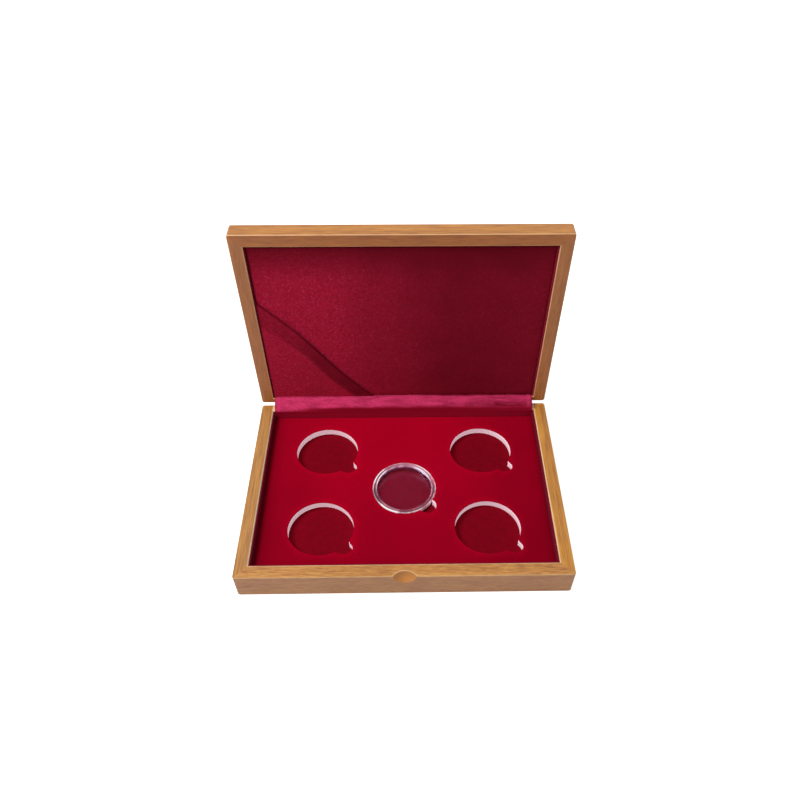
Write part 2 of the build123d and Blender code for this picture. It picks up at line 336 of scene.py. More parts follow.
@dataclass(frozen=True)
class WoodFinish(Finish):
    """Beech, planed and sanded, under a thin satin lacquer."""

    pale: str
    deep: str
    # Duller colours for the faces that look forwards: painted shade.
    front_shade_pale: str
    front_shade_deep: str
    fleck: str
    # Colour of the painted highlight along the edges.
    edge: str
    grain: Grain
    opening: Opening
    # Strengths of the painted edge highlight inside the opening and on the outer bevels.
    inner_highlight: float = 0.95
    outer_highlight: float = 0.1
    fleck_depth: float = 0.3
    streak_mm: float = 1.15
    run_mm: float = 9.0
    roughness: float = 0.38
    top_span: Point2 = (0.36, 0.64)
    front_span: Point2 = (0.34, 0.66)
    fleck_span: Point2 = (0.55, 0.68)
    patch_span: Point2 = (0.2, 0.6)
    # Where the painted edge highlight ends and fades out beyond the opening.
    highlight_mm: Point2 = (0.55, 0.9)
    pore_mm: float = 0.03
    scoop: Scoop = Scoop()

    def figure(self, graph: Graph, finer: float, detail: float, roughness: float, shift: float) -> Socket:
        """A pattern drawn out along the grain.

        Args:
            graph: the material's graph.
            finer: how many times finer it is than the streaks.
            detail: how many finer layers it has.
            roughness: weight of the finer layers.
            shift: offset, so that two patterns differ.

        Returns:
            A value around a half.
        """
        sizes = [self.streak_mm / finer] * 3
        sizes["xyz".index(self.grain.value)] = self.run_mm / finer
        return graph.pattern((sizes[0], sizes[1], sizes[2]), detail, roughness, (shift,) * 3)

    def surface(self, graph: Graph) -> Socket:
        """Shader of the finish.

        Args:
            graph: the material's graph.

        Returns:
            The shader socket.
        """
        # The eye sees honey brown with fine streaks along the board, short darker ray flecks a few
        # millimetres long, slow paler and browner bands and a soft sheen. The faces that look
        # forwards take duller colours, which paint the shade of faces turned from the lamp. A pale
        # painted highlight runs along the inner edges, the outer bevels and the scoop's lip, broken
        # along the streaks, and the scoop, which was cut last, glows more orange.
        add = graph.add
        streaks = self.figure(graph, 1.0, 3.0, 0.6, 0.0)
        bands = self.figure(graph, 0.16, 2.0, 0.5, 7.0)
        flecks = self.figure(graph, 1.7, 1.0, 0.5, 3.0)
        tone = add("Mix", {0: 0.66, 6: bands, 7: streaks}, **COLOURS)
        share = add("MapRange", [tone, *self.top_span])
        top = add("Mix", {0: share, 6: linear(self.deep), 7: linear(self.pale)}, **COLOURS)
        # Painted shade: the forward-looking faces take darker copies of the wood's colours.
        share = add("MapRange", [tone, *self.front_span])
        front = add("Mix", {0: share, 6: linear(self.front_shade_deep), 7: linear(self.front_shade_pale)}, **COLOURS)
        body = add("Mix", {0: graph.facing(1), 6: top, 7: front}, **COLOURS)
        marks = add("MapRange", [flecks, *self.fleck_span, 0.0, self.fleck_depth], **EASED)
        marked = add("Mix", {0: marks, 6: body, 7: linear(self.fleck)}, **COLOURS)
        # Painted highlight: a pale line along the inner edges, the outer bevels and the scoop's lip,
        # broken along the streaks.
        highlit_to, unlit_from = (size * MM for size in self.highlight_mm)
        outside = graph.beyond(self.opening)
        inner = add("MapRange", [outside, highlit_to, unlit_from, self.inner_highlight, 0.0], **EASED)
        outer = add("Math", [graph.bevels(), self.outer_highlight], **TIMES)
        reach = graph.distance(self.scoop.middle)
        rim = self.scoop.radius * MM
        lip_highlight_from = rim + self.scoop.lip * MM
        round_it = [reach, lip_highlight_from, lip_highlight_from + self.scoop.fade * MM, self.scoop.lip_highlight, 0.0]
        lip = add("Math", [add("MapRange", round_it, **EASED), graph.facing(2)], **TIMES)
        highlight = add("Math", [inner, add("Math", [outer, lip], **LARGER)], **LARGER)
        patchy = add("MapRange", [streaks, *self.patch_span, 0.6, 1.0], **EASED)
        highlight = add("Math", [highlight, patchy], **TIMES)
        sanded = add("Mix", {0: highlight, 6: marked, 7: linear(self.edge)}, **COLOURS)
        bowl = add("MapRange", [reach, rim, rim + 0.1 * MM, 1.0, 0.0], **EASED)
        share = add("Math", [tone, 0.7], **TIMES)
        cut = {0: share, 6: linear(self.scoop.fresh_pale), 7: linear(self.scoop.fresh_deep)}
        fresh = add("Mix", cut, **COLOURS)
        return add("BsdfPrincipled", {
            "Base Color": add("Mix", {0: bowl, 6: sanded, 7: fresh}, **COLOURS),
            "Roughness": self.roughness,
            "IOR": 1.48,
            "Coat Weight": 0.1,
            "Coat Roughness": 0.22,
            "Normal": add("Bump", {"Height": streaks, "Distance": self.pore_mm * MM, "Strength": 0.35}),
        })


@dataclass(frozen=True)
class VelvetFinish(Finish):
    """Short-pile velvet, cut and brushed."""

    colour: str
    brushed: str
    # The laid colour also paints shade wherever the lean attribute marks it.
    laid: str
    mottle_mm: float = 2.6
    mottle: float = 0.3
    # The glint strength and the tip colour paint highlight specks on the tuft tips.
    glint: float = 0.0
    sheen: float = 0.05
    sheen_tint: str = "#d8405c"
    tip_highlight: str = "#e0507c"
    tip_mm: float = 1.176
    pile_mm: float = 0.28
    pile_height_mm: float = 0.12
    ruffle_span: Point2 = (0.36, 0.66)
    tip_span: Point2 = (0.54, 0.7)

    def colour_socket(self, graph: Graph) -> Socket:
        """Base colour: mottled where the pile is ruffled, with painted highlight specks on the tufts,
        and deeper where the lean attribute holds pile that lies over and painted shade.

        Args:
            graph: the material's graph.

        Returns:
            The colour socket.
        """
        add = graph.add
        patches = graph.pattern((self.mottle_mm,) * 3, 4.0, 0.6)
        ruffled = add("MapRange", [patches, *self.ruffle_span, 0.0, self.mottle], **EASED)
        upright = add("Mix", {0: ruffled, 6: linear(self.colour), 7: linear(self.brushed)}, **COLOURS)
        tufts = graph.pattern((self.tip_mm,) * 3, 2.0, 0.7, (3.0, 5.0, 1.0))
        tips = add("MapRange", [tufts, *self.tip_span, 0.0, self.glint], **EASED)
        lit = add("Mix", {0: tips, 6: upright, 7: linear(self.tip_highlight)}, **COLOURS)
        lean = add("Attribute", out="Fac", attribute_name=PILE_LEAN_AND_SHADE)
        return add("Mix", {0: lean, 6: lit, 7: linear(self.laid)}, **COLOURS)

    def surface(self, graph: Graph) -> Socket:
        """Shader of the finish.

        Args:
            graph: the material's graph.

        Returns:
            The shader socket.
        """
        # The eye sees deep matt colour, cloudy where the pile is ruffled, single tuft tips drawn as
        # specks of painted highlight, and a faint fringe at grazing angles. The lean attribute darkens
        # the colour towards the laid one, for pile that lies over and for painted shade. The tips and
        # the pile are drawn coarser than real pile, which is too fine to show.
        pile = graph.pattern((self.pile_mm,) * 3, 2.0, 0.6)
        relief = {"Height": pile, "Distance": self.pile_height_mm * MM, "Strength": 0.6}
        return graph.add("BsdfPrincipled", {
            "Base Color": self.colour_socket(graph),
            "Roughness": 0.95,
            "IOR": 1.4,
            "Specular IOR Level": 0.03,
            "Sheen Weight": self.sheen,
            "Sheen Roughness": 0.3,
            "Sheen Tint": linear(self.sheen_tint),
            "Normal": graph.add("Bump", relief),
        })


@dataclass(frozen=True)
class StripVelvetFinish(VelvetFinish):
    """Bright velvet with painted sheen where it faces up and painted shade where it turns down."""

    shaded: str = "#a01230"
    face_span: Point2 = (0.15, 0.75)

    def colour_socket(self, graph: Graph) -> Socket:
        """Base colour with painted shade that deepens as the cloth turns down.

        Args:
            graph: the material's graph.

        Returns:
            The colour socket.
        """
        mottled = super().colour_socket(graph)
        # Painted light: sheen pink where the strip faces up, the shaded colour where it turns down.
        up = graph.add("MapRange", [graph.parts("Normal")[2], *self.face_span], **EASED)
        return graph.add("Mix", {0: up, 6: linear(self.shaded), 7: mottled}, **COLOURS)


@dataclass(frozen=True)
class FoamFinish(Finish):
    """White closed-cell EVA foam, die cut."""

    colour: str
    mid_wall_grey: str
    scattered: str = "#ffd8e6"
    foot_mm: Point2 = (8.4, 10.0)
    crest_mm: Point2 = (12.1, 12.8)
    drag_mm: Point3 = (1.111, 1.111, 16.67)
    glow: float = 0.34

    def surface(self, graph: Graph) -> Socket:
        """Shader of the finish.

        Args:
            graph: the material's graph.

        Returns:
            The shader socket.
        """
        # The eye sees soft matt white, a little translucent, greyer half way down the cut walls,
        # with fine upright drag lines; the white left along the crest is a painted highlight. The
        # faint emission stands in for the light that travels inside the foam.
        add = graph.add
        height = graph.parts("Object")[2]
        # Greyer half way down the walls, so the white left along the crest is a painted highlight.
        low = add("MapRange", [height, *(level * MM for level in self.foot_mm)], **EASED)
        high = add("MapRange", [height, *(level * MM for level in self.crest_mm)], **EASED)
        mid_wall = add("Math", [low, high], **LESS)
        lines = graph.pattern(self.drag_mm, 2.0, 0.6)
        colour = {0: mid_wall, 6: linear(self.colour), 7: linear(self.mid_wall_grey)}
        return add("BsdfPrincipled", {
            "Base Color": add("Mix", colour, **COLOURS),
            "Roughness": 0.7,
            "IOR": 1.45,
            "Emission Color": linear(self.scattered),
            "Emission Strength": self.glow,
            "Subsurface Weight": 0.15,
            "Subsurface Scale": 1.2 * MM,
            "Subsurface Radius": (1.0, 0.9, 0.9),
            "Normal": add("Bump", {"Height": lines, "Distance": 0.08 * MM, "Strength": 0.5}),
        })


@dataclass(frozen=True)
class AcrylicFinish(Finish):
    """Clear moulded acrylic, polished, with milky walls above the step inside."""

    tint: str
    upper_tint: str = "#f6d4de"
    lower_tint: str = "#e09cb2"
    shadow_tint: Colour = (0.93, 0.93, 0.94, 1.0)
    # Colours of the milky haze and painted highlights, and of the rims at the glints.
    milk_and_highlight: str = "#ffc6da"
    rim_highlight: str = "#fff0f6"
    wall_mm: Point2 = (19.9, 20.3)
    inner_line_mm: Point2 = (20.3, 20.8)
    rim_mm: Point2 = (22.2, 22.35)
    step_mm: Point2 = (11.6, 12.0)
    wall_thinness: float = 0.7
    disc_haze: float = 0.003
    wall_haze: float = 0.09
    front_to_back: Point2 = (-0.5, 0.3)
    back_light: Point2 = (0.4, 1.25)
    # Size and span of the pattern that breaks up the painted highlights.
    break_mm: float = 6.25
    break_span: Point2 = (0.4, 0.6)
    glint_mm: float = 0.35
    glint_span: Point2 = (0.9, 0.97)
    glints: Tuple[Point2, ...] = ((0.67, 0.74), (-0.87, 0.5), (-0.5, -0.87))

    def glint(self, graph: Graph, x: Socket, y: Socket, radius: Socket) -> Socket:
        """Finds the short arcs of the rims that get painted reflections of the lamps.

        Args:
            graph: the material's graph.
            x: place on the capsule.
            y: place on the capsule.
            radius: distance from its middle.

        Returns:
            A value from 0 to 1.
        """
        add = graph.add
        found: object = 0.0
        for across, back in self.glints:
            sides = [add("Math", [x, across], **TIMES), add("Math", [y, back], **TIMES)]
            share = add("Math", [add("Math", sides, **PLUS), radius], operation="DIVIDE")
            arc = add("MapRange", [share, *self.glint_span], **EASED)
            found = add("Math", [found, arc], **LARGER)
        return found

    def surface(self, graph: Graph) -> Socket:
        """Shader of the finish.

        Args:
            graph: the material's graph.

        Returns:
            The shader socket.
        """
        # The eye sees a clear disc inside a faintly milky ring. The rims, the inner step and the
        # bevels carry bright lines of painted highlight, broken up along their length and brightest
        # in three short arcs that paint the lamps' reflections; the haze and the lines are painted
        # stronger towards the back, and a faint haze over the disc paints its reflections. Lower
        # down the wall only shows the dark cloth round it. Light reaches what lies under the
        # capsule, so rays that only cast shadow pass straight through.
        add = graph.add
        x, y, z = graph.parts("Object")
        squares = [add("Math", [part, part], **TIMES) for part in (x, y)]
        radius = add("Math", [add("Math", squares, **PLUS)], operation="SQRT")
        wall = add("MapRange", [radius, *(size * MM for size in self.wall_mm)], **EASED)
        upper = add("MapRange", [z, *(level * MM for level in self.step_mm)], **EASED)
        glint = self.glint(graph, x, y, radius)
        # Painted light: the haze and the lines are stronger towards the back.
        behind = add("Math", [y, radius], operation="DIVIDE")
        behind = add("MapRange", [behind, *self.front_to_back, *self.back_light], **EASED)
        wall_above = add("Math", [wall, upper], **TIMES)
        milky = add("Math", [wall_above, add("Math", [behind, self.wall_haze], **TIMES)], **TIMES)
        # Painted highlight: lines on the outer rim, wider at the glints, on the inner step and on the
        # bevels.
        reach = add("Math", [radius, add("Math", [glint, self.glint_mm * MM], **TIMES)], **PLUS)
        rim = add("MapRange", [reach, *(size * MM for size in self.rim_mm)], **EASED)
        strength = add("MapRange", [glint, 0.0, 1.0, 0.7, 1.0], **EASED)
        strength = add("Math", [behind, strength], **TIMES)
        step = add("MapRange", [radius, *(size * MM for size in self.inner_line_mm), 1.0, 0.0], **EASED)
        step = add("Math", [strength, step], **TIMES)
        inner = add("Math", [step, wall], **TIMES)
        lines = add("Math", [rim, inner], **LARGER)
        lines = add("Math", [lines, graph.bevels()], **LARGER)
        # The painted highlights are broken up by a pattern, but stay whole at the glints.
        highlight_breaks = graph.pattern((self.break_mm,) * 3, 2.0, 0.6, (2.0, 5.0, 1.0))
        broken = add("MapRange", [highlight_breaks, *self.break_span, 0.35, 0.85], **EASED)
        broken = add("Math", [broken, glint], **LARGER)
        lit = add("Math", [add("Math", [lines, upper], **TIMES), broken], **TIMES)
        haze = add("Math", [milky, lit], **LARGER)
        haze = add("Math", [haze, self.disc_haze], **LARGER)
        tint = add("Mix", {0: upper, 6: linear(self.lower_tint), 7: linear(self.upper_tint)}, **COLOURS)
        thin = add("MapRange", [upper, 0.0, 1.0, 1.0, self.wall_thinness], **EASED)
        thin = add("Math", [wall, thin], **TIMES)
        surface = add("BsdfPrincipled", {
            "Base Color": linear(self.tint),
            "Roughness": 0.03,
            "IOR": 1.49,
            "Transmission Weight": 1.0,
        })
        plain = add("MixShader", [thin, surface, add("BsdfTransparent", [tint])])
        # Diffuse white at the glints and rims paints the lamps' reflections.
        bright = add("Mix", {0: glint, 6: linear(self.rim_highlight), 7: WHITE}, **COLOURS)
        bright = add("Mix", {0: lit, 6: linear(self.milk_and_highlight), 7: bright}, **COLOURS)
        body = add("MixShader", [haze, plain, add("BsdfDiffuse", [bright])])
        shadow = add("LightPath", out="Is Shadow Ray")
        clear = add("BsdfTransparent", [self.shadow_tint])
        return add("MixShader", [shadow, body, clear])


@dataclass(frozen=True)
class MetalFinish(Finish):
    """Rolled brass sheet or drawn steel wire, as the hinge maker left it."""

    colour: str
    roughness: float
    scratch_mm: Point3 = (1.6, 0.08, 0.08)

    def surface(self, graph: Graph) -> Socket:
        """Shader of the finish.

        Args:
            graph: the material's graph.

        Returns:
            The shader socket.
        """
        # The eye sees bright yellow or grey metal with faint rolling lines.
        lines = graph.pattern(self.scratch_mm, 2.0, 0.5)
        rough = [lines, 0.3, 0.7, self.roughness - 0.08, self.roughness + 0.1]
        return graph.add("BsdfPrincipled", {
            "Base Color": linear(self.colour),
            "Metallic": 1.0,
            "Roughness": graph.add("MapRange", rough, **EASED),
            "Normal": graph.add("Bump", {"Height": lines, "Distance": 0.01 * MM, "Strength": 0.3}),
        })


@dataclass(frozen=True)
class BoardFinish(Finish):
    """Sawn fibreboard or pressed card, left raw and hidden under the cloth."""

    colour: str
    fibre: str = "#6f5f4a"
    fibre_mm: float = 0.4

    def surface(self, graph: Graph) -> Socket:
        """Shader of the finish.

        Args:
            graph: the material's graph.

        Returns:
            The shader socket.
        """
        # The eye sees dull brown-grey board with a faint fibre speckle.
        speckle = graph.pattern((self.fibre_mm,) * 3, 3.0, 0.6)
        share = graph.add("MapRange", [speckle, 0.35, 0.65])
        tone = graph.add("Mix", {0: share, 6: linear(self.fibre), 7: linear(self.colour)}, **COLOURS)
        return graph.add("BsdfPrincipled", {"Base Color": tone, "Roughness": 0.9})


@dataclass(frozen=True)
class FloorFinish(Finish):
    """Matt paint on the studio's floor, which shows white where it is fully lit."""

    colour: str = "#e9e9e9"
    lift: float = 0.75

    def surface(self, graph: Graph) -> Socket:
        """Shader of the finish.

        Args:
            graph: the material's graph.

        Returns:
            The shader socket.
        """
        # The eye sees plain white that keeps the case's shadow; only the camera sees the lift.
        seen = graph.add("LightPath", out="Is Camera Ray")
        return graph.add("BsdfPrincipled", {
            "Base Color": linear(self.colour),
            "Roughness": 0.9,
            "Specular IOR Level": 0.1,
            "Emission Color": WHITE,
            "Emission Strength": graph.add("Math", [seen, self.lift], **TIMES),
        })


BASE_OPENING = Opening(103.2, 1, -68.1, 76.0)
LID_OPENING = Opening(103.2, 2, 27.95, 168.65)
# Colours: top pale and deep, forward faces pale and deep as painted shade, fleck, and the painted edge
# highlight; then its strengths inside the opening and on the outer bevels.
BASE_RAIL_X = WoodFinish(
    "beech_satin_lacquer_base_along_x", "#d2964a", "#9f632e", "#c28752", "#a56b40", "#74431e", "#f6d8a4",
    Grain.X, BASE_OPENING, 0.95, 0.3,
)
BASE_RAIL_LEFT = WoodFinish(
    "beech_satin_lacquer_base_left", "#c68e46", "#98622e", "#bd8044", "#9a602f", "#7c4a22", "#fff4d2",
    Grain.Y, BASE_OPENING, 0.55, 0.1, 0.2, streak_mm=0.85, run_mm=20.0,
)
BASE_RAIL_RIGHT = WoodFinish(
    "beech_satin_lacquer_base_right", "#da9838", "#a86a28", "#bd8044", "#9a602f", "#7c4a22", "#f6d8a4",
    Grain.Y, BASE_OPENING, 0.9, 0.1, 0.2, streak_mm=0.85, run_mm=20.0,
)
LID_RAIL_X = WoodFinish(
    "beech_satin_lacquer_lid_along_x", "#ca8634", "#9a5e20", "#bb7132", "#995a2c", "#6c3a18", "#e8b888",
    Grain.X, LID_OPENING, 0.35, 0.75, 0.2, run_mm=14.0,
)
LID_RAIL_Z = WoodFinish(
    "beech_satin_lacquer_lid_along_z", "#c47e38", "#985c28", "#bd763e", "#9c6032", "#6c3a18", "#e8b888",
    Grain.Z, LID_OPENING, 0.35, 0.9, 0.2, run_mm=14.0,
)
PANEL = WoodFinish(
    "beech_veneer_rotary_cut", "#c58b4c", "#a56c38", "#c0844c", "#a2683a", "#7c4a22", "#ddb27a",
    Grain.X, BASE_OPENING, 0.0, 0.0, 0.22, streak_mm=1.2, run_mm=40.0, roughness=0.42,
)
# Each velvet: upright, ruffled and laid colours; the laid colour also paints shade where the lean
# attribute marks it.
TRAY_VELVET = VelvetFinish("velvet_deep_red_short_cut_pile", "#b30023", "#9e001d", "#6a0014", 1.8, 0.35)
FLOOR_VELVET = VelvetFinish("velvet_dark_red_pressed_pile", "#7c0518", "#680412", "#4c020c", 4.0, 0.4)
LID_VELVET = VelvetFinish(
    "velvet_wine_red_brushed_pile", "#b01c3a", "#8c1228", "#660c1a", 1.7, 0.6, 0.28, 0.1
)
# The linings' nearly black laid colour paints the shade along the rails.
WALL_VELVET = VelvetFinish("velvet_wine_red_on_card", "#8a1830", "#a02444", "#38040e", 1.2, 0.4)
STRIP_VELVET = StripVelvetFinish(
    "velvet_magenta_woven_shiny_pile", "#d23a6c", "#b4244c", "#740a1e", 0.9, 0.6, 0.6, 0.2
)
FOAM = FoamFinish("eva_foam_white_die_cut", "#fffafc", "#e0ccd4")
ACRYLIC = AcrylicFinish("acrylic_clear_polished_moulding", "#ecebff")
BRASS = MetalFinish("brass_rolled_sheet_bright", "#d9b36a", 0.3)
STEEL = MetalFinish("steel_drawn_wire", "#b9bbbd", 0.32)
CARD = BoardFinish("greyboard_pressed", "#9b9181")
FIBREBOARD = BoardFinish("fibreboard_sawn", "#a98d68")


class Paint:
    """Makes each finish once and puts it on pieces."""

    def __init__(self) -> None:
        """Starts with nothing made."""
        self.made: Dict[str, bpy.types.Material] = {}

    def material(self, finish: Finish) -> bpy.types.Material:
        """The material of a finish.

        Args:
            finish: the finish.

        Returns:
            The material, made on first use.
        """
        if finish.name not in self.made:
            self.made[finish.name] = finish.build()
        return self.made[finish.name]

    def coat(self, piece: bpy.types.Object, finish: Finish) -> bpy.types.Object:
        """Gives a piece one finish all over.

        Args:
            piece: a mesh object.
            finish: its finish.

        Returns:
            The same object.
        """
        if not piece.data.materials:
            piece.data.materials.append(None)
        for number in range(len(piece.data.materials)):
            piece.data.materials[number] = self.material(finish)
        return piece


# ---------------------------------------------------------------------------------------------
# Mesh building
# ---------------------------------------------------------------------------------------------


class Shell:
    """Vertices in millimetres and faces, gathered before they become a mesh."""

    def __init__(self) -> None:
        """Starts empty."""
        self.points: List[Point3] = []
        self.faces: List[Tuple[int, ...]] = []

    def ring(self, outline: Sequence[Point2], z: float) -> List[int]:
        """Adds a level loop of points.

        Args:
            outline: x and y of each point.
            z: the level.

        Returns:
            The new vertex numbers.
        """
        start = len(self.points)
        self.points.extend((x, y, z) for x, y in outline)
        return list(range(start, len(self.points)))

    def bridge(self, first: Sequence[int], second: Sequence[int]) -> None:
        """Joins two closed loops of the same length with quads.

        Args:
            first: vertex numbers of one loop.
            second: vertex numbers of the other, in step.
        """
        count = len(first)
        for i in range(count):
            j = (i + 1) % count
            self.faces.append((first[i], first[j], second[j], second[i]))

    def patch(self, rows: Sequence[Sequence[Point3]]) -> List[List[int]]:
        """Adds a grid of points and its quads.

        Args:
            rows: points row by row, every row as long as the first.

        Returns:
            The vertex numbers, row by row.
        """
        start = len(self.points)
        width = len(rows[0])
        for row in rows:
            self.points.extend(row)
        numbers = [[start + r * width + c for c in range(width)] for r in range(len(rows))]
        for r in range(len(rows) - 1):
            for c in range(width - 1):
                near, far = numbers[r], numbers[r + 1]
                self.faces.append((near[c], near[c + 1], far[c + 1], far[c]))
        return numbers

    def mesh(self, name: str, smooth_degrees: float = 40.0) -> bpy.types.Object:
        """Makes the object, with faces turned outwards and sharp edges kept.

        Args:
            name: the object's name.
            smooth_degrees: edges sharper than this stay crisp.

        Returns:
            The object, linked to the scene.
        """
        data = bpy.data.meshes.new(name)
        data.from_pydata([Vector(p) * MM for p in self.points], [], self.faces)
        data.validate()
        work = bmesh.new()
        work.from_mesh(data)
        bmesh.ops.remove_doubles(work, verts=work.verts, dist=0.002 * MM)
        bmesh.ops.recalc_face_normals(work, faces=work.faces)
        work.to_mesh(data)
        work.free()
        data.shade_smooth()
        data.set_sharp_from_angle(angle=math.radians(smooth_degrees))
        piece = bpy.data.objects.new(name, data)
        bpy.context.scene.collection.objects.link(piece)
        return piece


def lay_pile_and_shade(piece: bpy.types.Object, lean: Callable[[float, float, float], float]) -> None:
    """Records how far a velvet's pile lies over, and its painted shade, for its finish to read.

    Args:
        piece: the cloth.
        lean: from 0 to 1, how far the pile lies over and how deep its painted shade is, from a place in
            millimetres.
    """
    layer = piece.data.attributes.new(PILE_LEAN_AND_SHADE, "FLOAT", "POINT")
    for vertex, entry in zip(piece.data.vertices, layer.data):
        x, y, z = (value / MM for value in vertex.co)
        entry.value = min(1.0, max(0.0, lean(x, y, z)))


def border(grid: List[List[int]]) -> List[int]:
    """The numbers round the outside of a grid.

    Args:
        grid: vertex numbers, row by row.

    Returns:
        The outer ones, as a closed loop.
    """
    right = [row[-1] for row in grid[1:]]
    bottom = list(reversed(grid[-1][:-1]))
    left = [row[0] for row in reversed(grid[1:-1])]
    return list(grid[0]) + right + bottom + left


def closed_cloth(rows: Sequence[Sequence[Point3]], backs: Sequence[Sequence[Point3]]) -> Shell:
    """Closes a cloth's face and back into one thin shell.

    Args:
        rows: the face, row by row.
        backs: the back, in step with the face.

    Returns:
        The shell.
    """
    shell = Shell()
    face = shell.patch(rows)
    back = shell.patch(backs)
    shell.bridge(border(face), border(back))
    return shell


@dataclass(frozen=True)
class RimProfile:
    """How a sheet turns over at an edge: pairs of distance back from the edge and drop."""

    radius: float
    steps: int = 4

    def pairs(self) -> List[Point2]:
        """Points of the quarter round.

        Returns:
            Distance back from the edge and drop below the face, from the face down.
        """
        points = []
        for i in range(self.steps + 1):
            turn = math.pi / 2 * i / self.steps
            points.append((self.radius * (1 - math.sin(turn)), self.radius * (1 - math.cos(turn))))
        return points


@dataclass(frozen=True)
class Well:
    """A round well with a finger notch on its rim, in millimetres."""

    x: float
    y: float
    radius: float
    notch_radius: float
    notch_reach: float
    notch_degrees: float
    lap_near: float = 0.0
    lap_far: float = 0.0
    well_points: int = 132
    notch_points: int = 30

    def edge_point(self, x: float, y: float, size: float, turn: float) -> Point2:
        """A point of the edge, with the pile leaning over the near and far sides.

        Args:
            x: middle of the arc.
            y: middle of the arc.
            size: the arc's radius.
            turn: the point's heading from the middle, in radians.

        Returns:
            The point.
        """
        heading = math.sin(turn)
        lean = self.lap_near * max(0.0, -heading) ** 0.7 - self.lap_far * max(0.0, heading) ** 0.7
        return (x + size * math.cos(turn), y + size * heading + lean)

    def outline(self, grow: float) -> List[Point2]:
        """The well's edge, moved outwards.

        Args:
            grow: how far out.

        Returns:
            Points anticlockwise, in step for every value of grow.
        """
        big = self.radius + grow
        small = self.notch_radius + grow
        reach = self.notch_reach
        at_well = math.acos((big * big + reach * reach - small * small) / (2 * big * reach))
        at_notch = math.pi - math.acos((small * small + reach * reach - big * big) / (2 * small * reach))
        heading = math.radians(self.notch_degrees)
        notch_x = self.x + reach * math.cos(heading)
        notch_y = self.y + reach * math.sin(heading)
        points = []
        for i in range(self.well_points):
            turn = heading + at_well + (2 * math.pi - 2 * at_well) * i / self.well_points
            points.append(self.edge_point(self.x, self.y, big, turn))
        for i in range(self.notch_points):
            turn = heading - at_notch + 2 * at_notch * i / self.notch_points
            points.append(self.edge_point(notch_x, notch_y, small, turn))
        return points

    def holds(self, x: float, y: float, grow: float) -> bool:
        """Whether a point lies in the well.

        Args:
            x: the point.
            y: the point.
            grow: how far the edge is moved outwards.

        Returns:
            True inside.
        """
        if math.hypot(x - self.x, y - self.y) > self.radius + self.notch_reach:
            return False
        edge = self.outline(grow)
        inside = False
        for (ax, ay), (bx, by) in zip(edge, edge[1:] + edge[:1]):
            if (ay > y) != (by > y) and x < ax + (bx - ax) * (y - ay) / (by - ay):
                inside = not inside
        return inside

    def beyond(self, x: float, y: float) -> float:
        """Distance of a point outside the edge, roughly.

        Args:
            x: the point.
            y: the point.

        Returns:
            The distance, below 0 inside.
        """
        heading = math.radians(self.notch_degrees)
        notch_x = self.x + self.notch_reach * math.cos(heading)
        notch_y = self.y + self.notch_reach * math.sin(heading)
        well = math.hypot(x - self.x, y - self.y) - self.radius
        return min(well, math.hypot(x - notch_x, y - notch_y) - self.notch_radius)


@dataclass(frozen=True)
class Block:
    """A box-shaped space in millimetres."""

    low: Point3
    high: Point3

    @classmethod
    def of(cls, node: str) -> "Block":
        """The space that a frame node fills.

        Args:
            node: the node's name.

        Returns:
            Its box.
        """
        low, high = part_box(node)
        return cls(tuple(v / MM for v in low), tuple(v / MM for v in high))

    def size(self, axis: int) -> float:
        """Length along an axis.

        Args:
            axis: 0, 1 or 2.

        Returns:
            The length.
        """
        return self.high[axis] - self.low[axis]


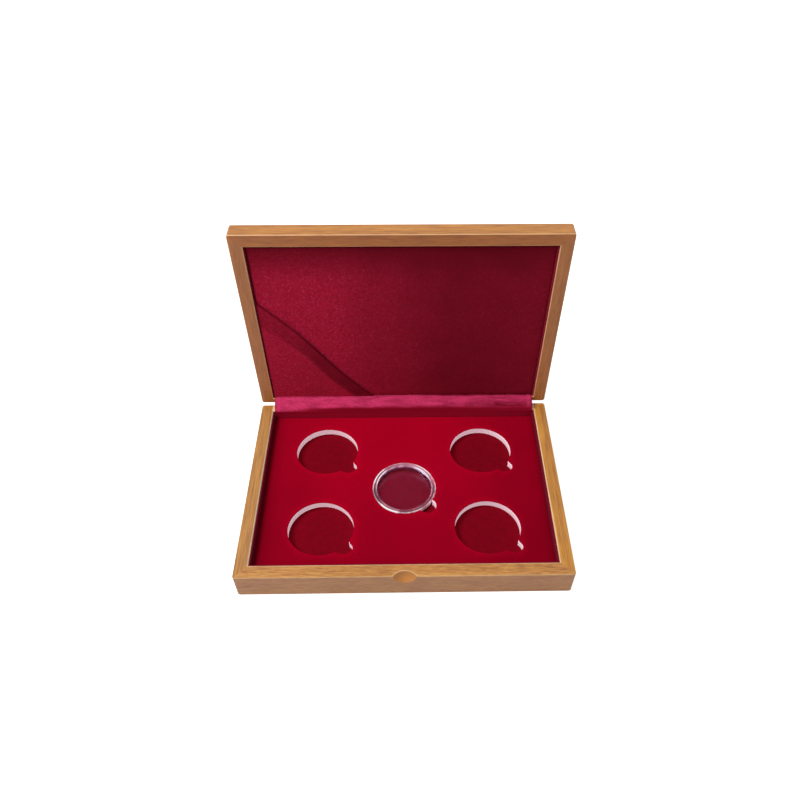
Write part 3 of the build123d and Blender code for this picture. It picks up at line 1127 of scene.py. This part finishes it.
@dataclass
class Perforated:
    """A slab with wells through it and its upper edges rounded over."""

    block: Block
    wells: List[Well]
    rim: RimProfile
    grid: float = 4.0
    edge_step: float = 4.0
    relief: Callable[[float, float], float] = field(default=lambda x, y: 0.0)
    undercut: float = 0.0

    def rectangle(self, inset: float) -> List[Point2]:
        """The slab's outline, moved inwards.

        Args:
            inset: how far in.

        Returns:
            Points anticlockwise, in step for every inset.
        """
        x0, y0, _ = self.block.low
        x1, y1, _ = self.block.high
        across = max(2, round((x1 - x0) / self.edge_step))
        along = max(2, round((y1 - y0) / self.edge_step))
        corners = [(x0, y0, 1, 1), (x1, y0, -1, 1), (x1, y1, -1, -1), (x0, y1, 1, -1)]
        moved = [(x + dx * inset, y + dy * inset) for x, y, dx, dy in corners]
        points = []
        for i, count in enumerate((across, along, across, along)):
            a = moved[i]
            b = moved[(i + 1) % 4]
            for k in range(count):
                points.append((a[0] + (b[0] - a[0]) * k / count, a[1] + (b[1] - a[1]) * k / count))
        return points

    def face(self, shell: Shell, loops: List[List[int]], back: float) -> None:
        """Fills one flat face between the outer loop and the wells.

        Args:
            shell: the shell to add to.
            loops: vertex numbers of the outer loop and of each well's loop.
            back: how far the loops stand back from the edges.
        """
        numbers = [n for loop in loops for n in loop]
        z = shell.points[numbers[0]][2]
        flat = [Vector(shell.points[n][:2]) for n in numbers]
        edges = []
        start = 0
        for loop in loops:
            edges.extend((start + i, start + (i + 1) % len(loop)) for i in range(len(loop)))
            start += len(loop)
        x0, y0, _ = self.block.low
        x1, y1, _ = self.block.high
        clear = back + 0.6 * self.grid
        y = y0 + clear
        while y < y1 - clear:
            x = x0 + clear
            while x < x1 - clear:
                if not any(well.holds(x, y, clear) for well in self.wells):
                    flat.append(Vector((x, y)))
                x += self.grid
            y += self.grid
        verts, _, faces, origin, _, _ = delaunay_2d_cdt(flat, edges, [], 1, 1e-6)
        lookup = []
        for vertex, source in zip(verts, origin):
            if source and source[0] < len(numbers):
                lookup.append(numbers[source[0]])
            else:
                lookup.append(len(shell.points))
                lift = self.relief(vertex.x, vertex.y) if z > self.block.low[2] else 0.0
                shell.points.append((vertex.x, vertex.y, z + lift))
        for corners in faces:
            cx = sum(verts[c].x for c in corners) / len(corners)
            cy = sum(verts[c].y for c in corners) / len(corners)
            if not any(well.holds(cx, cy, back) for well in self.wells):
                shell.faces.append(tuple(lookup[c] for c in corners))

    def shell(self) -> Shell:
        """Builds the slab.

        Returns:
            The closed shell.
        """
        made = Shell()
        bottom, top = self.block.low[2], self.block.high[2]
        outlines = [self.rectangle] + [well.outline for well in self.wells]
        upper = []
        lower = []
        for outline in outlines:
            loops = [made.ring(outline(back), top - drop) for back, drop in self.rim.pairs()]
            if self.undercut:
                loops.append(made.ring(outline(0.0), bottom + 1.2 * self.undercut))
            loops.append(made.ring(outline(self.undercut), bottom))
            for first, second in zip(loops, loops[1:]):
                made.bridge(first, second)
            upper.append(loops[0])
            lower.append(loops[-1])
        self.face(made, upper, self.rim.radius)
        self.face(made, lower, self.undercut)
        return made


# ---------------------------------------------------------------------------------------------
# The soft pieces
# ---------------------------------------------------------------------------------------------


@dataclass
class TrayFill:
    """The perforated foam, its velvet skin and the velvet floor under the wells."""

    paint: Paint
    well_radius: float = 23.1
    notch_radius: float = 6.3
    notch_beyond_rim: float = 0.1
    notch_degrees: float = -44.0
    well_x: float = 58.5
    well_y: float = 35.0
    skin_rim: float = 0.45
    foam_rim: float = 0.12
    foam_undercut: float = 0.35
    foam_grid: float = 12.0
    floor_step: float = 5.0
    floor_rim: float = 0.25
    lap_near: float = 1.7
    lap_far: float = 0.9

    def wells(self, lap_near: float = 0.0, lap_far: float = 0.0) -> List[Well]:
        """The five wells.

        Args:
            lap_near: how far the pile leans over the near side of the corner wells.
            lap_far: the same on their far side.

        Returns:
            The centre well and the four corner wells.
        """
        reach = self.well_radius + self.notch_beyond_rim
        sizes = (self.well_radius, self.notch_radius, reach, self.notch_degrees)
        corners = [(sx * self.well_x, sy * self.well_y) for sy in (-1, 1) for sx in (-1, 1)]
        return [Well(0.0, 0.0, *sizes)] + [Well(x, y, *sizes, lap_near, lap_far) for x, y in corners]

    def build(self) -> List[bpy.types.Object]:
        """Returns:
            The velvet skin, the foam and the floor velvet.
        """
        wells = self.wells()
        skin_block = Block.of("tray_velvet")
        foam_block = Block.of("tray_foam")
        lapped = self.wells(self.lap_near, self.lap_far)
        skin = Perforated(skin_block, lapped, RimProfile(self.skin_rim), relief=self.nap).shell()
        cloth = self.paint.coat(skin.mesh("tray_velvet_cloth"), TRAY_VELVET)
        lay_pile_and_shade(cloth, self.pile_and_shade)
        rim = RimProfile(self.foam_rim, 2)
        foam = Perforated(foam_block, wells, rim, self.foam_grid, undercut=self.foam_undercut).shell()
        block = self.paint.coat(foam.mesh("tray_foam_block"), FOAM)
        wide, deep = skin_block.size(0), skin_block.size(1)
        settle(cloth, Body.BASE, "velvet_tray", "tray_velvet")
        settle(block, Body.BASE, "white_foam", "tray_foam")
        floor_block = Block.of("floor_velvet")
        flat = FlatCloth(floor_block, 2, True, self.floor_step, self.floor_rim, self.press)
        floor = flat.mesh("floor_velvet_cloth")
        settle(self.paint.coat(floor, FLOOR_VELVET), Body.BASE, "velvet_floor", "floor_velvet")
        floor_block.size(0)
        floor_block.size(1)
        return [cloth, block, floor]

    def pile_and_shade(self, x: float, y: float, z: float) -> float:
        """How far the tray's pile lies over, with painted light.

        Darker towards both sides, painted shade towards the front and a painted shadow along the
        left rail; lighter on the lips round the wells, as painted sheen.

        Args:
            x: place on the tray.
            y: place on the tray.
            z: height.

        Returns:
            The lean.
        """
        # Darker towards both sides, painted shade towards the front and a painted shadow along the left
        # rail.
        sides = 0.34 * smooth_step(30.0, 90.0, x) + 0.25 * smooth_step(-40.0, -90.0, x)
        wall = 0.45 * smooth_step(-88.0, -101.0, x)
        front = 0.4 * smooth_step(60.0, -60.0, y)
        cloud = 0.1 * noise.noise(Vector((x / 31, y / 27, 8.0)))
        lean = 1 - (1 - sides) * (1 - front) * (1 - wall) * (1 - 0.12) + cloud
        # Lighter on the lips round the wells: a painted sheen.
        lip = min(well.beyond(x, y) for well in self.wells())
        return lean - 0.22 * smooth_step(1.6, 0.2, lip)

    @staticmethod
    def nap(x: float, y: float) -> float:
        """Height of the tray's velvet above flat.

        Args:
            x: place on the tray.
            y: place on the tray.

        Returns:
            Height in millimetres.
        """
        return 0.05 * noise.noise(Vector((x / 23, y / 23, 4.2)))

    @staticmethod
    def press(x: float, y: float) -> float:
        """Height of the floor velvet above flat.

        Args:
            x: place on the floor.
            y: place on the floor.

        Returns:
            Height in millimetres, never above flat.
        """
        return -0.04 + 0.04 * noise.noise(Vector((x / 9, y / 9, 1.7)))


@dataclass
class FlatCloth:
    """A flat cloth that fills a box, its face gently uneven and its edges rolled back."""

    block: Block
    axis: int
    towards_high: bool
    step: float
    rim: float
    relief: Callable[[float, float], float]

    def stations(self, along: int) -> List[float]:
        """Grid lines along one axis, closer together at the rolled edges.

        Args:
            along: the axis.

        Returns:
            Their places, from low to high.
        """
        low, high = self.block.low[along], self.block.high[along]
        inside = high - low - 2 * self.rim
        count = max(3, round(inside / self.step))
        middle = [low + self.rim + inside * i / count for i in range(count + 1)]
        return [low, low + 0.3 * self.rim] + middle + [high - 0.3 * self.rim, high]

    def roll(self, place: float, along: int) -> float:
        """How far the face rolls back near an edge.

        Args:
            place: place along the axis.
            along: the axis.

        Returns:
            The drop, 0 away from the edges.
        """
        gap = min(place - self.block.low[along], self.block.high[along] - place)
        if gap >= self.rim:
            return 0.0
        return self.rim - math.sqrt(max(0.0, self.rim * self.rim - (self.rim - gap) ** 2))

    def mesh(self, name: str) -> bpy.types.Object:
        """Makes the cloth.

        Args:
            name: the object's name.

        Returns:
            The object.
        """
        first, second = [a for a in range(3) if a != self.axis]
        ends = [self.block.low[self.axis], self.block.high[self.axis]]
        back_at, face_at = ends if self.towards_high else reversed(ends)
        out = 1.0 if self.towards_high else -1.0
        face_rows = []
        back_rows = []
        for v in self.stations(second):
            face_row = []
            back_row = []
            for u in self.stations(first):
                drop = max(self.roll(u, first), self.roll(v, second))
                place = {first: u, second: v}
                place[self.axis] = face_at + out * (self.relief(u, v) - drop)
                face_row.append((place[0], place[1], place[2]))
                place[self.axis] = back_at
                back_row.append((place[0], place[1], place[2]))
            face_rows.append(face_row)
            back_rows.append(back_row)
        return closed_cloth(face_rows, back_rows).mesh(name, 50.0)


def settle(piece: bpy.types.Object, body: Body, slot: str, *nodes: str) -> None:
    """Puts a piece on its body in place of frame nodes.

    Args:
        piece: the piece.
        body: the body it rides on.
        slot: the material slot named for the piece; not used.
        *nodes: the frame nodes it stands for.
    """
    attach(piece, body.value)
    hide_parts(*nodes)


# The narrowest side given to a lining's flat size, in millimetres.
LEAST_FLAT = 10.0


@dataclass
class WallLinings:
    """Velvet on card along the inside of the rails, with a soft rolled crest."""

    paint: Paint
    step: float = 3.0
    waviness: float = 0.12
    wave_length: float = 17.0
    crest_points: int = 9
    # How dark each lining is drawn; the higher values, on the left and on the lid's front, paint the
    # shade where the rails keep the lamp off.
    lean: Dict[Tuple[Body, str], float] = field(
        default_factory=lambda: {
            (Body.BASE, "front"): 0.3,
            (Body.BASE, "left"): 0.5,
            (Body.BASE, "right"): 0.3,
            (Body.LID, "front"): 0.8,
            (Body.LID, "left"): 0.7,
            (Body.LID, "right"): 0.0,
        }
    )

    def build(self) -> List[bpy.types.Object]:
        """Builds all six linings.

        Returns:
            The linings.
        """
        sides = ("front", "left", "right")
        upright = ((Body.BASE, 2), (Body.LID, 1))
        return [self.lining(body, side, up) for body, up in upright for side in sides]

    def lining(self, body: Body, side: str, up: int) -> bpy.types.Object:
        """Builds one lining.

        Args:
            body: base or lid.
            side: front, left or right.
            up: the axis from its foot to its crest.

        Returns:
            The lining.
        """
        node = f"{body.value}_wall_lining_{side}"
        block = Block.of(node)
        lengths = [block.size(a) for a in range(3)]
        long_axis = lengths.index(max(lengths))
        thin_axis = 3 - long_axis - up
        foot, crest = block.low[up], block.high[up]
        if body is Body.LID:
            foot, crest = crest, foot
        rise = math.copysign(1.0, crest - foot)
        nose = 0.5 * block.size(thin_axis)
        count = max(8, round(lengths[long_axis] / self.step))
        seed = sum(ord(letter) for letter in node) * 0.37
        rows = []
        for i in range(count + 1):
            along = block.low[long_axis] + lengths[long_axis] * i / count
            wave = self.waviness * noise.noise(Vector((along / self.wave_length, seed, 0.0)))
            middle = (block.low[thin_axis] + block.high[thin_axis]) / 2
            row = []
            for across, height in self.section(nose, abs(crest - foot)):
                place = [0.0, 0.0, 0.0]
                place[long_axis] = along
                place[thin_axis] = middle + across
                lift = wave * smooth_step(0.4, 1.0, height / abs(crest - foot)) - self.waviness
                place[up] = foot + rise * max(0.0, height + (lift if height > 0 else 0.0))
                row.append((place[0], place[1], place[2]))
            rows.append(row)
        shell = Shell()
        grid = shell.patch(rows)
        for r in range(count):
            shell.faces.append((grid[r][-1], grid[r][0], grid[r + 1][0], grid[r + 1][-1]))
        shell.faces.append(tuple(grid[0]))
        shell.faces.append(tuple(reversed(grid[-1])))
        piece = self.paint.coat(shell.mesh(f"{node}_cloth", 60.0), WALL_VELVET)
        lay_pile_and_shade(piece, lambda x, y, z: self.lean[(body, side)])
        settle(piece, body, "velvet_linings", node)
        run, wide = lengths[long_axis], abs(crest - foot) + nose
        flat = (run, max(LEAST_FLAT, wide))
        return piece

    def section(self, nose: float, height: float) -> List[Point2]:
        """Outline of a lining from foot to foot over the rounded crest.

        Args:
            nose: half its thickness.
            height: foot to crest.

        Returns:
            Offset across and height of each point.
        """
        points = [(-nose, 0.0), (-nose, 0.5 * (height - nose))]
        for i in range(self.crest_points):
            turn = math.pi * i / (self.crest_points - 1)
            points.append((-nose * math.cos(turn), height - nose + nose * math.sin(turn)))
        points += [(nose, 0.5 * (height - nose)), (nose, 0.0)]
        return points


def lid_pile_and_shade(x: float, y: float, z: float) -> float:
    """How far the lid velvet's pile lies over, with painted shade.

    Darker to the right, and at the top a painted shadow of the lid's top rail.

    Args:
        x: place on the lid.
        y: distance back.
        z: place up the open lid.

    Returns:
        The lean.
    """
    across = 0.4 * smooth_step(-58.0, -12.0, x) + 0.35 * smooth_step(-20.0, 40.0, x)
    across -= 0.07 * smooth_step(50.0, 95.0, x)
    # Painted shadow under the lid's top rail.
    top = 0.72 * smooth_step(135.0, 166.0, z)
    cloud = 0.08 * noise.noise(Vector((x / 22, z / 19, 3.0)))
    return 1 - (1 - across) * (1 - top) + cloud


@dataclass
class LidLining:
    """Velvet glued over the lid's lining board."""

    paint: Paint
    step: float = 4.0
    rim: float = 0.7

    def build(self) -> List[bpy.types.Object]:
        """Builds the lining.

        Returns:
            The one piece, in a list.
        """
        block = Block.of("lid_lining_velvet")
        cloth = FlatCloth(block, 1, False, self.step, self.rim, self.rumple)
        piece = cloth.mesh("lid_lining_velvet_cloth")
        self.paint.coat(piece, LID_VELVET)
        lay_pile_and_shade(piece, lid_pile_and_shade)
        settle(piece, Body.LID, "velvet_lid", "lid_lining_velvet")
        block.size(0)
        block.size(2)
        return [piece]

    @staticmethod
    def rumple(x: float, z: float) -> float:
        """Height of the lining above flat.

        Args:
            x: place on the lining.
            z: place on the lining.

        Returns:
            Height in millimetres.
        """
        return -0.1 + 0.1 * noise.noise(Vector((x / 31, z / 24, 9.1)))


@dataclass
class CornerPocket:
    """Triangular velvet pocket, glued along two walls and open along the slope."""

    paint: Paint
    cloth: float = 0.7
    hem: float = 5.0
    turned_in: float = 13.0
    rows: int = 90
    crease_shade_mm: float = 3.2

    def build(self) -> List[bpy.types.Object]:
        """Builds the pocket.

        Returns:
            The one piece, in a list.
        """
        block = Block.of("lid_pocket")
        x0, _, z0 = block.low
        wide, high = block.size(0), block.size(2)
        lining = block.high[1]
        face_rows = []
        back_rows = []
        for r in range(self.rows + 1):
            share = r / self.rows
            face_row = []
            back_row = []
            end_x, end_z = self.mouth(share, wide, high)
            for c in range(self.rows + 1):
                run = c / self.rows
                x = x0 + end_x * run
                z = z0 + high * share + (end_z - high * share) * run
                gap = self.lift(x - x0, z - z0, run * (1 - share) + share)
                face_row.append((x, lining - self.cloth - gap, z))
                back_row.append((x, lining - gap, z))
            face_rows.append(face_row)
            back_rows.append(back_row)
        piece = closed_cloth(face_rows, back_rows).mesh("lid_pocket_cloth", 50.0)
        self.paint.coat(piece, LID_VELVET)
        lay_pile_and_shade(piece, lambda x, y, z: self.pile_and_shade(x - x0, z - z0, wide, high))
        settle(piece, Body.LID, "velvet_lid", "lid_pocket")
        return [piece]

    @staticmethod
    def bulge(share: float) -> float:
        """How far the slack mouth swings out from a straight line.

        Args:
            share: 0 at its lower end, 1 at its upper end.

        Returns:
            The distance in millimetres.
        """
        return 0.8 * math.sin(math.pi * share) - 1.5 * math.sin(2 * math.pi * share)

    def mouth(self, share: float, wide: float, high: float) -> Point2:
        """A point on the mouth.

        Args:
            share: 0 at its lower end, 1 at its upper end.
            wide: width of the pocket.
            high: its height.

        Returns:
            Distance from the wall and height.
        """
        slope = math.hypot(wide, high)
        out = self.bulge(share)
        return (wide * (1 - share) + out * high / slope, high * share + out * wide / slope)

    def pile_and_shade(self, across: float, up: float, wide: float, high: float) -> float:
        """How far the pile lies over, with painted shade.

        The turned-in hem along the mouth is drawn dark, with a dark line in the fold at the mouth
        and dark crease lines.

        Args:
            across: distance from the side wall.
            up: distance from the foot.
            wide: width of the pocket.
            high: its height.

        Returns:
            The lean.
        """
        slope = math.hypot(wide, high)
        share = min(1.0, max(0.0, (up * high + (wide - across) * wide) / slope ** 2))
        depth = self.bulge(share) - (across * high + up * wide - wide * high) / slope
        hem = self.turned_in * (0.85 + 0.4 * smooth_step(0.5, 1.0, share))
        wander = 1.2 * noise.noise(Vector((share * 5, 2.0, 0.0)))
        # Painted shade: the band along the mouth, a dark line in the fold at the mouth, and dark crease
        # lines in the band.
        band = smooth_step(hem + 2.0 + wander, hem - 2.5 + wander, depth)
        fold = 0.4 * smooth_step(1.3, 0.4, depth)
        creased = smooth_step(0.35 * hem, hem, depth) * band
        crease_shade = 0.16 * math.sin(2 * math.pi * (depth + wander) / self.crease_shade_mm) * creased
        cloud = 0.12 * noise.noise(Vector((across / 14, up / 12, 6.0)))
        return 0.04 + (0.4 + 0.35 * smooth_step(0.75, 0.35, share)) * band + fold + crease_shade + cloud

    def lift(self, across: float, up: float, towards_mouth: float) -> float:
        """How far the cloth stands off the lining.

        Args:
            across: distance from the side wall.
            up: distance from the foot.
            towards_mouth: 0 at the corner, 1 on the open slope.

        Returns:
            The gap in millimetres.
        """
        free = smooth_step(0.0, self.hem * 2, min(across, up))
        return 0.02 + free * (0.28 + 0.45 * smooth_step(0.72, 1.0, towards_mouth))


@dataclass(frozen=True)
class JointLines:
    """The edges of the two back rails that the strip runs over, in millimetres."""

    base_face: float
    rim: float
    mate: float
    ledge: float

    @classmethod
    def read(cls) -> "JointLines":
        """Takes the edges from the frame.

        Returns:
            Inner face and top of the base's rail, mating face and inner face of the lid's.
        """
        base, lid = Block.of("base_back_rail"), Block.of("lid_back_rail")
        return cls(base.low[1], base.high[2], lid.low[1], lid.high[2])


@dataclass
class HingeCover:
    """Velvet strip over the hinge line, slack across the open joint."""

    paint: Paint
    thickness: float = 0.5
    off_wood: float = 0.1
    columns: int = 260
    rows: int = 54

    def build(self) -> List[bpy.types.Object]:
        """Builds the strip, bent across the open joint between base and lid.

        Returns:
            The one piece, in a list.
        """
        block = Block.of("hinge_cover_strip")
        joint = JointLines.read()
        face_rows = []
        back_rows = []
        for c in range(self.columns + 1):
            share = c / self.columns
            x = block.low[0] + block.size(0) * share
            path = self.path(x, share, block, joint)
            face_rows.append([(x, y, z) for y, z in self.offset(path, self.thickness)])
            back_rows.append([(x, y, z) for y, z in path])
        piece = closed_cloth(face_rows, back_rows).mesh("hinge_cover_velvet", 70.0)
        self.paint.coat(piece, STRIP_VELVET)
        half = block.size(0) / 2
        lay_pile_and_shade(piece, lambda x, y, z: self.pile_and_shade(x, y, z, half, joint))
        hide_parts("hinge_cover_strip")
        run = self.length(self.path(0.0, 0.5, block, joint))
        block.size(0)
        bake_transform(piece)
        return [piece]

    @staticmethod
    def pile_and_shade(x: float, y: float, z: float, half: float, joint: JointLines) -> float:
        """How far the strip's pile lies over, with painted light.

        Wavy streaks along it, darker to the right; painted shade where it tucks under the lid's
        lining, down its lower slope and down the upright part; darker at the very ends and
        lighter a little inside them, as painted highlight on the pleats.

        Args:
            x: place along the strip.
            y: distance back.
            z: height.
            half: half the strip's length.
            joint: the rails' edges.

        Returns:
            The lean.
        """
        rim, mate = joint.rim, joint.mate
        share = 0.5 + 0.5 * x / half
        down = 0.8 * y + z
        wave = noise.noise(Vector((x / 13, down / 2.4, 1.0)))
        wave += 0.5 * noise.noise(Vector((x / 4.0, down / 1.2, 5.0)))
        right = 0.19 * smooth_step(0.62, 0.95, share)
        # Painted shade where the strip tucks under the lid's lining, down its lower slope and down the
        # upright part.
        tucked_shade = 0.7 * smooth_step(0.3, 0.9, share) * smooth_step(mate + 0.4, mate + 1.4, y)
        low = 0.45 * smooth_step(0.2, 0.6, share) * smooth_step(rim + 5.8, rim + 4.6, z)
        # Darker at the very ends, and lighter a little inside them as painted highlight on the pleats.
        end_line = 0.6 * smooth_step(half - 0.9, half - 0.3, abs(x))
        pleat_highlight = 0.3 * smooth_step(half - 5.0, half - 4.0, abs(x))
        pleat_highlight *= smooth_step(half - 1.0, half - 2.0, abs(x))
        deep = 0.35 * smooth_step(0.45, 1.0, share) * smooth_step(rim - 0.5, rim - 3.5, z)
        return 0.12 + 0.48 * wave + right + tucked_shade + low + deep + end_line - pleat_highlight

    def path(self, x: float, share: float, block: Block, joint: JointLines) -> List[Point2]:
        """The strip's back line at one place, from behind the lining board to behind the tray.

        Args:
            x: place along the strip.
            share: 0 at its left end, 1 at its right.
            block: the strip's box.
            joint: the rails' edges.

        Returns:
            The y and z of each point.
        """
        base_face, rim, mate, ledge = joint.base_face, joint.rim, joint.mate, joint.ledge
        off = self.off_wood
        slack = smooth_step(0.0, 0.3, share) * (1 - 0.45 * smooth_step(0.55, 1.0, share))
        ripple = 0.6 * noise.noise(Vector((x / 8.0, 0.3, 2.0)))
        ripple += 0.9 * noise.noise(Vector((x / 21, 4.3, 2.0)))
        ends = smooth_step(0.06, 0.0, share) + smooth_step(0.94, 1.0, share)
        pleat = 0.35 * ends * math.sin(x * 2.1)
        knee = (base_face + 2.0 - 2.0 * slack, rim + 2.1 + 2.4 * slack + 0.55 * ripple)
        shoulder = (mate - 1.6, ledge - 0.3 - 0.5 * share + 0.2 * ripple)
        # Along the lid's back rail, over its edge, across the open joint with the knee hanging
        # slack, then over the base's rail and down behind the tray.
        anchors = [
            (block.high[1], ledge + off),
            (mate + 3.6, ledge + off),
            (mate + 1.0, ledge + off + 0.1 + 0.15 * ripple),
            (mate - 0.3, ledge + 0.2),
            (shoulder[0], shoulder[1] + 0.3 * pleat),
            (knee[0] + 0.2 * pleat, knee[1] + pleat),
            (base_face - off - 0.15, rim - 0.2),
            (base_face - off - 0.1 * abs(ripple), rim - 2.5),
            (base_face - off, block.low[2] + 5.0),
            (base_face - off, block.low[2]),
        ]
        return catmull(anchors, self.rows)

    @staticmethod
    def offset(path: List[Point2], distance: float) -> List[Point2]:
        """Points beside a line.

        Args:
            path: the line.
            distance: how far to its outer side.

        Returns:
            The moved points, in step.
        """
        moved = []
        for i, (y, z) in enumerate(path):
            before = path[max(0, i - 1)]
            after = path[min(len(path) - 1, i + 1)]
            dy, dz = after[0] - before[0], after[1] - before[1]
            size = math.hypot(dy, dz) or 1.0
            moved.append((y + distance * dz / size, z - distance * dy / size))
        return moved

    @staticmethod
    def length(path: List[Point2]) -> float:
        """Length of a line.

        Args:
            path: its points.

        Returns:
            The length.
        """
        return sum(math.dist(a, b) for a, b in zip(path, path[1:]))


def catmull(anchors: Sequence[Point2], count: int) -> List[Point2]:
    """A smooth line through a few points.

    Args:
        anchors: the points it passes.
        count: how many steps to divide it into.

    Returns:
        Points along the line, evenly shared between the spans.
    """
    spans = len(anchors) - 1
    points = []
    for i in range(count + 1):
        at = spans * i / count
        k = min(spans - 1, int(at))
        t = at - k
        p0 = anchors[max(0, k - 1)]
        p1 = anchors[k]
        p2 = anchors[k + 1]
        p3 = anchors[min(spans, k + 2)]
        point = []
        for a in (0, 1):
            bend = 2 * p1[a] + (p2[a] - p0[a]) * t
            bend += (2 * p0[a] - 5 * p1[a] + 4 * p2[a] - p3[a]) * t * t
            bend += (3 * p1[a] - p0[a] - 3 * p2[a] + p3[a]) * t ** 3
            point.append(bend / 2)
        points.append((point[0], point[1]))
    return points


# ---------------------------------------------------------------------------------------------
# Rigid pieces
# ---------------------------------------------------------------------------------------------


@dataclass
class RigidPieces:
    """Finishes for the frame's own solids."""

    paint: Paint
    nodes: Dict[str, bpy.types.Object]

    def build(self) -> List[bpy.types.Object]:
        """Puts the finishes on.

        Returns:
            The solids.
        """
        return [self.paint.coat(self.nodes[name], finish) for name, finish in self.finishes().items()]

    @staticmethod
    def finishes() -> Dict[str, Finish]:
        """Which finish each solid takes.

        Returns:
            Finishes by node name.
        """
        chosen: Dict[str, Finish] = {}
        for side in ("front", "back"):
            chosen[f"base_{side}_rail"] = BASE_RAIL_X
            chosen[f"lid_{side}_rail"] = LID_RAIL_X
        for side in ("left", "right"):
            chosen[f"base_{side}_rail"] = BASE_RAIL_LEFT if side == "left" else BASE_RAIL_RIGHT
            chosen[f"lid_{side}_rail"] = LID_RAIL_Z
            chosen[f"hinge_base_leaf_{side}"] = BRASS
            chosen[f"hinge_lid_leaf_{side}"] = BRASS
            chosen[f"hinge_pin_{side}"] = STEEL
        chosen["base_bottom_panel"] = PANEL
        chosen["lid_top_panel"] = PANEL
        chosen["floor_board"] = FIBREBOARD
        chosen["lid_lining_board"] = CARD
        chosen["hinge_base_screws"] = BRASS
        chosen["hinge_lid_screws"] = BRASS
        chosen["capsule_base"] = ACRYLIC
        chosen["capsule_cap"] = ACRYLIC
        return chosen


# ---------------------------------------------------------------------------------------------
# Stage
# ---------------------------------------------------------------------------------------------


@dataclass(frozen=True)
class AreaLamp:
    """A square soft lamp."""

    name: str
    place: Point3
    target: Point3
    size: float
    watts: float
    colour: str = "#ffffff"

    def build(self) -> None:
        """Adds the lamp."""
        data = bpy.data.lights.new(self.name, "AREA")
        data.size = self.size
        data.energy = self.watts
        data.color = linear(self.colour)[:3]
        lamp = bpy.data.objects.new(self.name, data)
        lamp.location = self.place
        heading = Vector(self.target) - Vector(self.place)
        lamp.rotation_euler = heading.to_track_quat("-Z", "Y").to_euler()
        bpy.context.scene.collection.objects.link(lamp)


@dataclass
class Stage:
    """Floor, sky, lamps and camera."""

    lamps: Sequence[AreaLamp]
    eye: Point3 = (1.87, -313.91, 435.60)
    right: Point3 = (0.99987, -0.01566, 0.00495)
    down: Point3 = (-0.00818, -0.73625, -0.67666)
    lens: float = 32.07
    shift: Point2 = (-0.0204, 0.0175)
    floor_finish: FloorFinish = FloorFinish("floor_matt_paint")
    sky: float = 0.5

    def build(self) -> None:
        """Builds the whole stage."""
        for lamp in self.lamps:
            lamp.build()
        self.world()
        self.floor()
        self.camera()
        bpy.context.scene.view_settings.view_transform = "Standard"

    def world(self) -> None:
        """White surroundings that light softly and show as plain white."""
        graph = Graph(bpy.data.worlds.new("studio"))
        path = graph.add("LightPath").node.outputs
        seen = graph.add("Math", [path["Is Camera Ray"], path["Is Transmission Ray"]], **LARGER)
        seen = graph.add("Math", [seen, path["Is Glossy Ray"]], **LARGER)
        direct = graph.add("Math", [seen, path["Diffuse Depth"]], use_clamp=True, **LESS)
        soft = graph.add("Background", {"Color": WHITE, "Strength": self.sky})
        plain = graph.add("Background", {"Color": WHITE, "Strength": 1.0})
        graph.add("OutputWorld", [graph.add("MixShader", [direct, soft, plain])])
        bpy.context.scene.world = graph.owner

    def floor(self) -> None:
        """Pale floor that keeps the shadow and is lifted to white where it is fully lit."""
        bpy.ops.mesh.primitive_plane_add(size=6.0, location=(0.0, 0.0, 0.0))
        plane = bpy.context.object
        plane.name = "studio_floor"
        plane.data.materials.append(self.floor_finish.build())

    def camera(self) -> None:
        """Camera in front of the case, a little above it."""
        data = bpy.data.cameras.new("view")
        data.lens = self.lens
        data.sensor_width = 36.0
        data.shift_x, data.shift_y = self.shift
        data.clip_start = 0.01
        camera = bpy.data.objects.new("view", data)
        side = Vector(self.right).normalized()
        up = -Vector(self.down)
        up = (up - side * up.dot(side)).normalized()
        back = side.cross(up)
        turn = Matrix((side, up, back)).transposed().to_4x4()
        camera.matrix_world = Matrix.Translation(Vector(self.eye) * MM) @ turn
        bpy.context.scene.collection.objects.link(camera)
        bpy.context.scene.camera = camera


LAMPS = (
    AreaLamp("key_upper_left", (-0.60, -0.12, 1.05), (0.0, 0.0, 0.03), size=0.45, watts=9.5),
)


def clear_scene() -> None:
    """Removes whatever the empty file starts with."""
    for thing in list(bpy.data.objects):
        bpy.data.objects.remove(thing)


def main() -> None:
    """Builds the dressed case and its stage."""
    logging.basicConfig(level=logging.INFO)
    clear_scene()
    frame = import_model()
    paint = Paint()
    rigid = RigidPieces(paint, frame["nodes"])
    soft = (TrayFill(paint), WallLinings(paint), LidLining(paint), CornerPocket(paint), HingeCover(paint))
    for group in (rigid, *soft):
        for piece in group.build():
            finish = piece.data.materials[0].name
            log.info("%s: %s, %s", type(group).__name__, piece.name, finish)
    Stage(LAMPS).build()


if __name__ == "__main__":
    main()
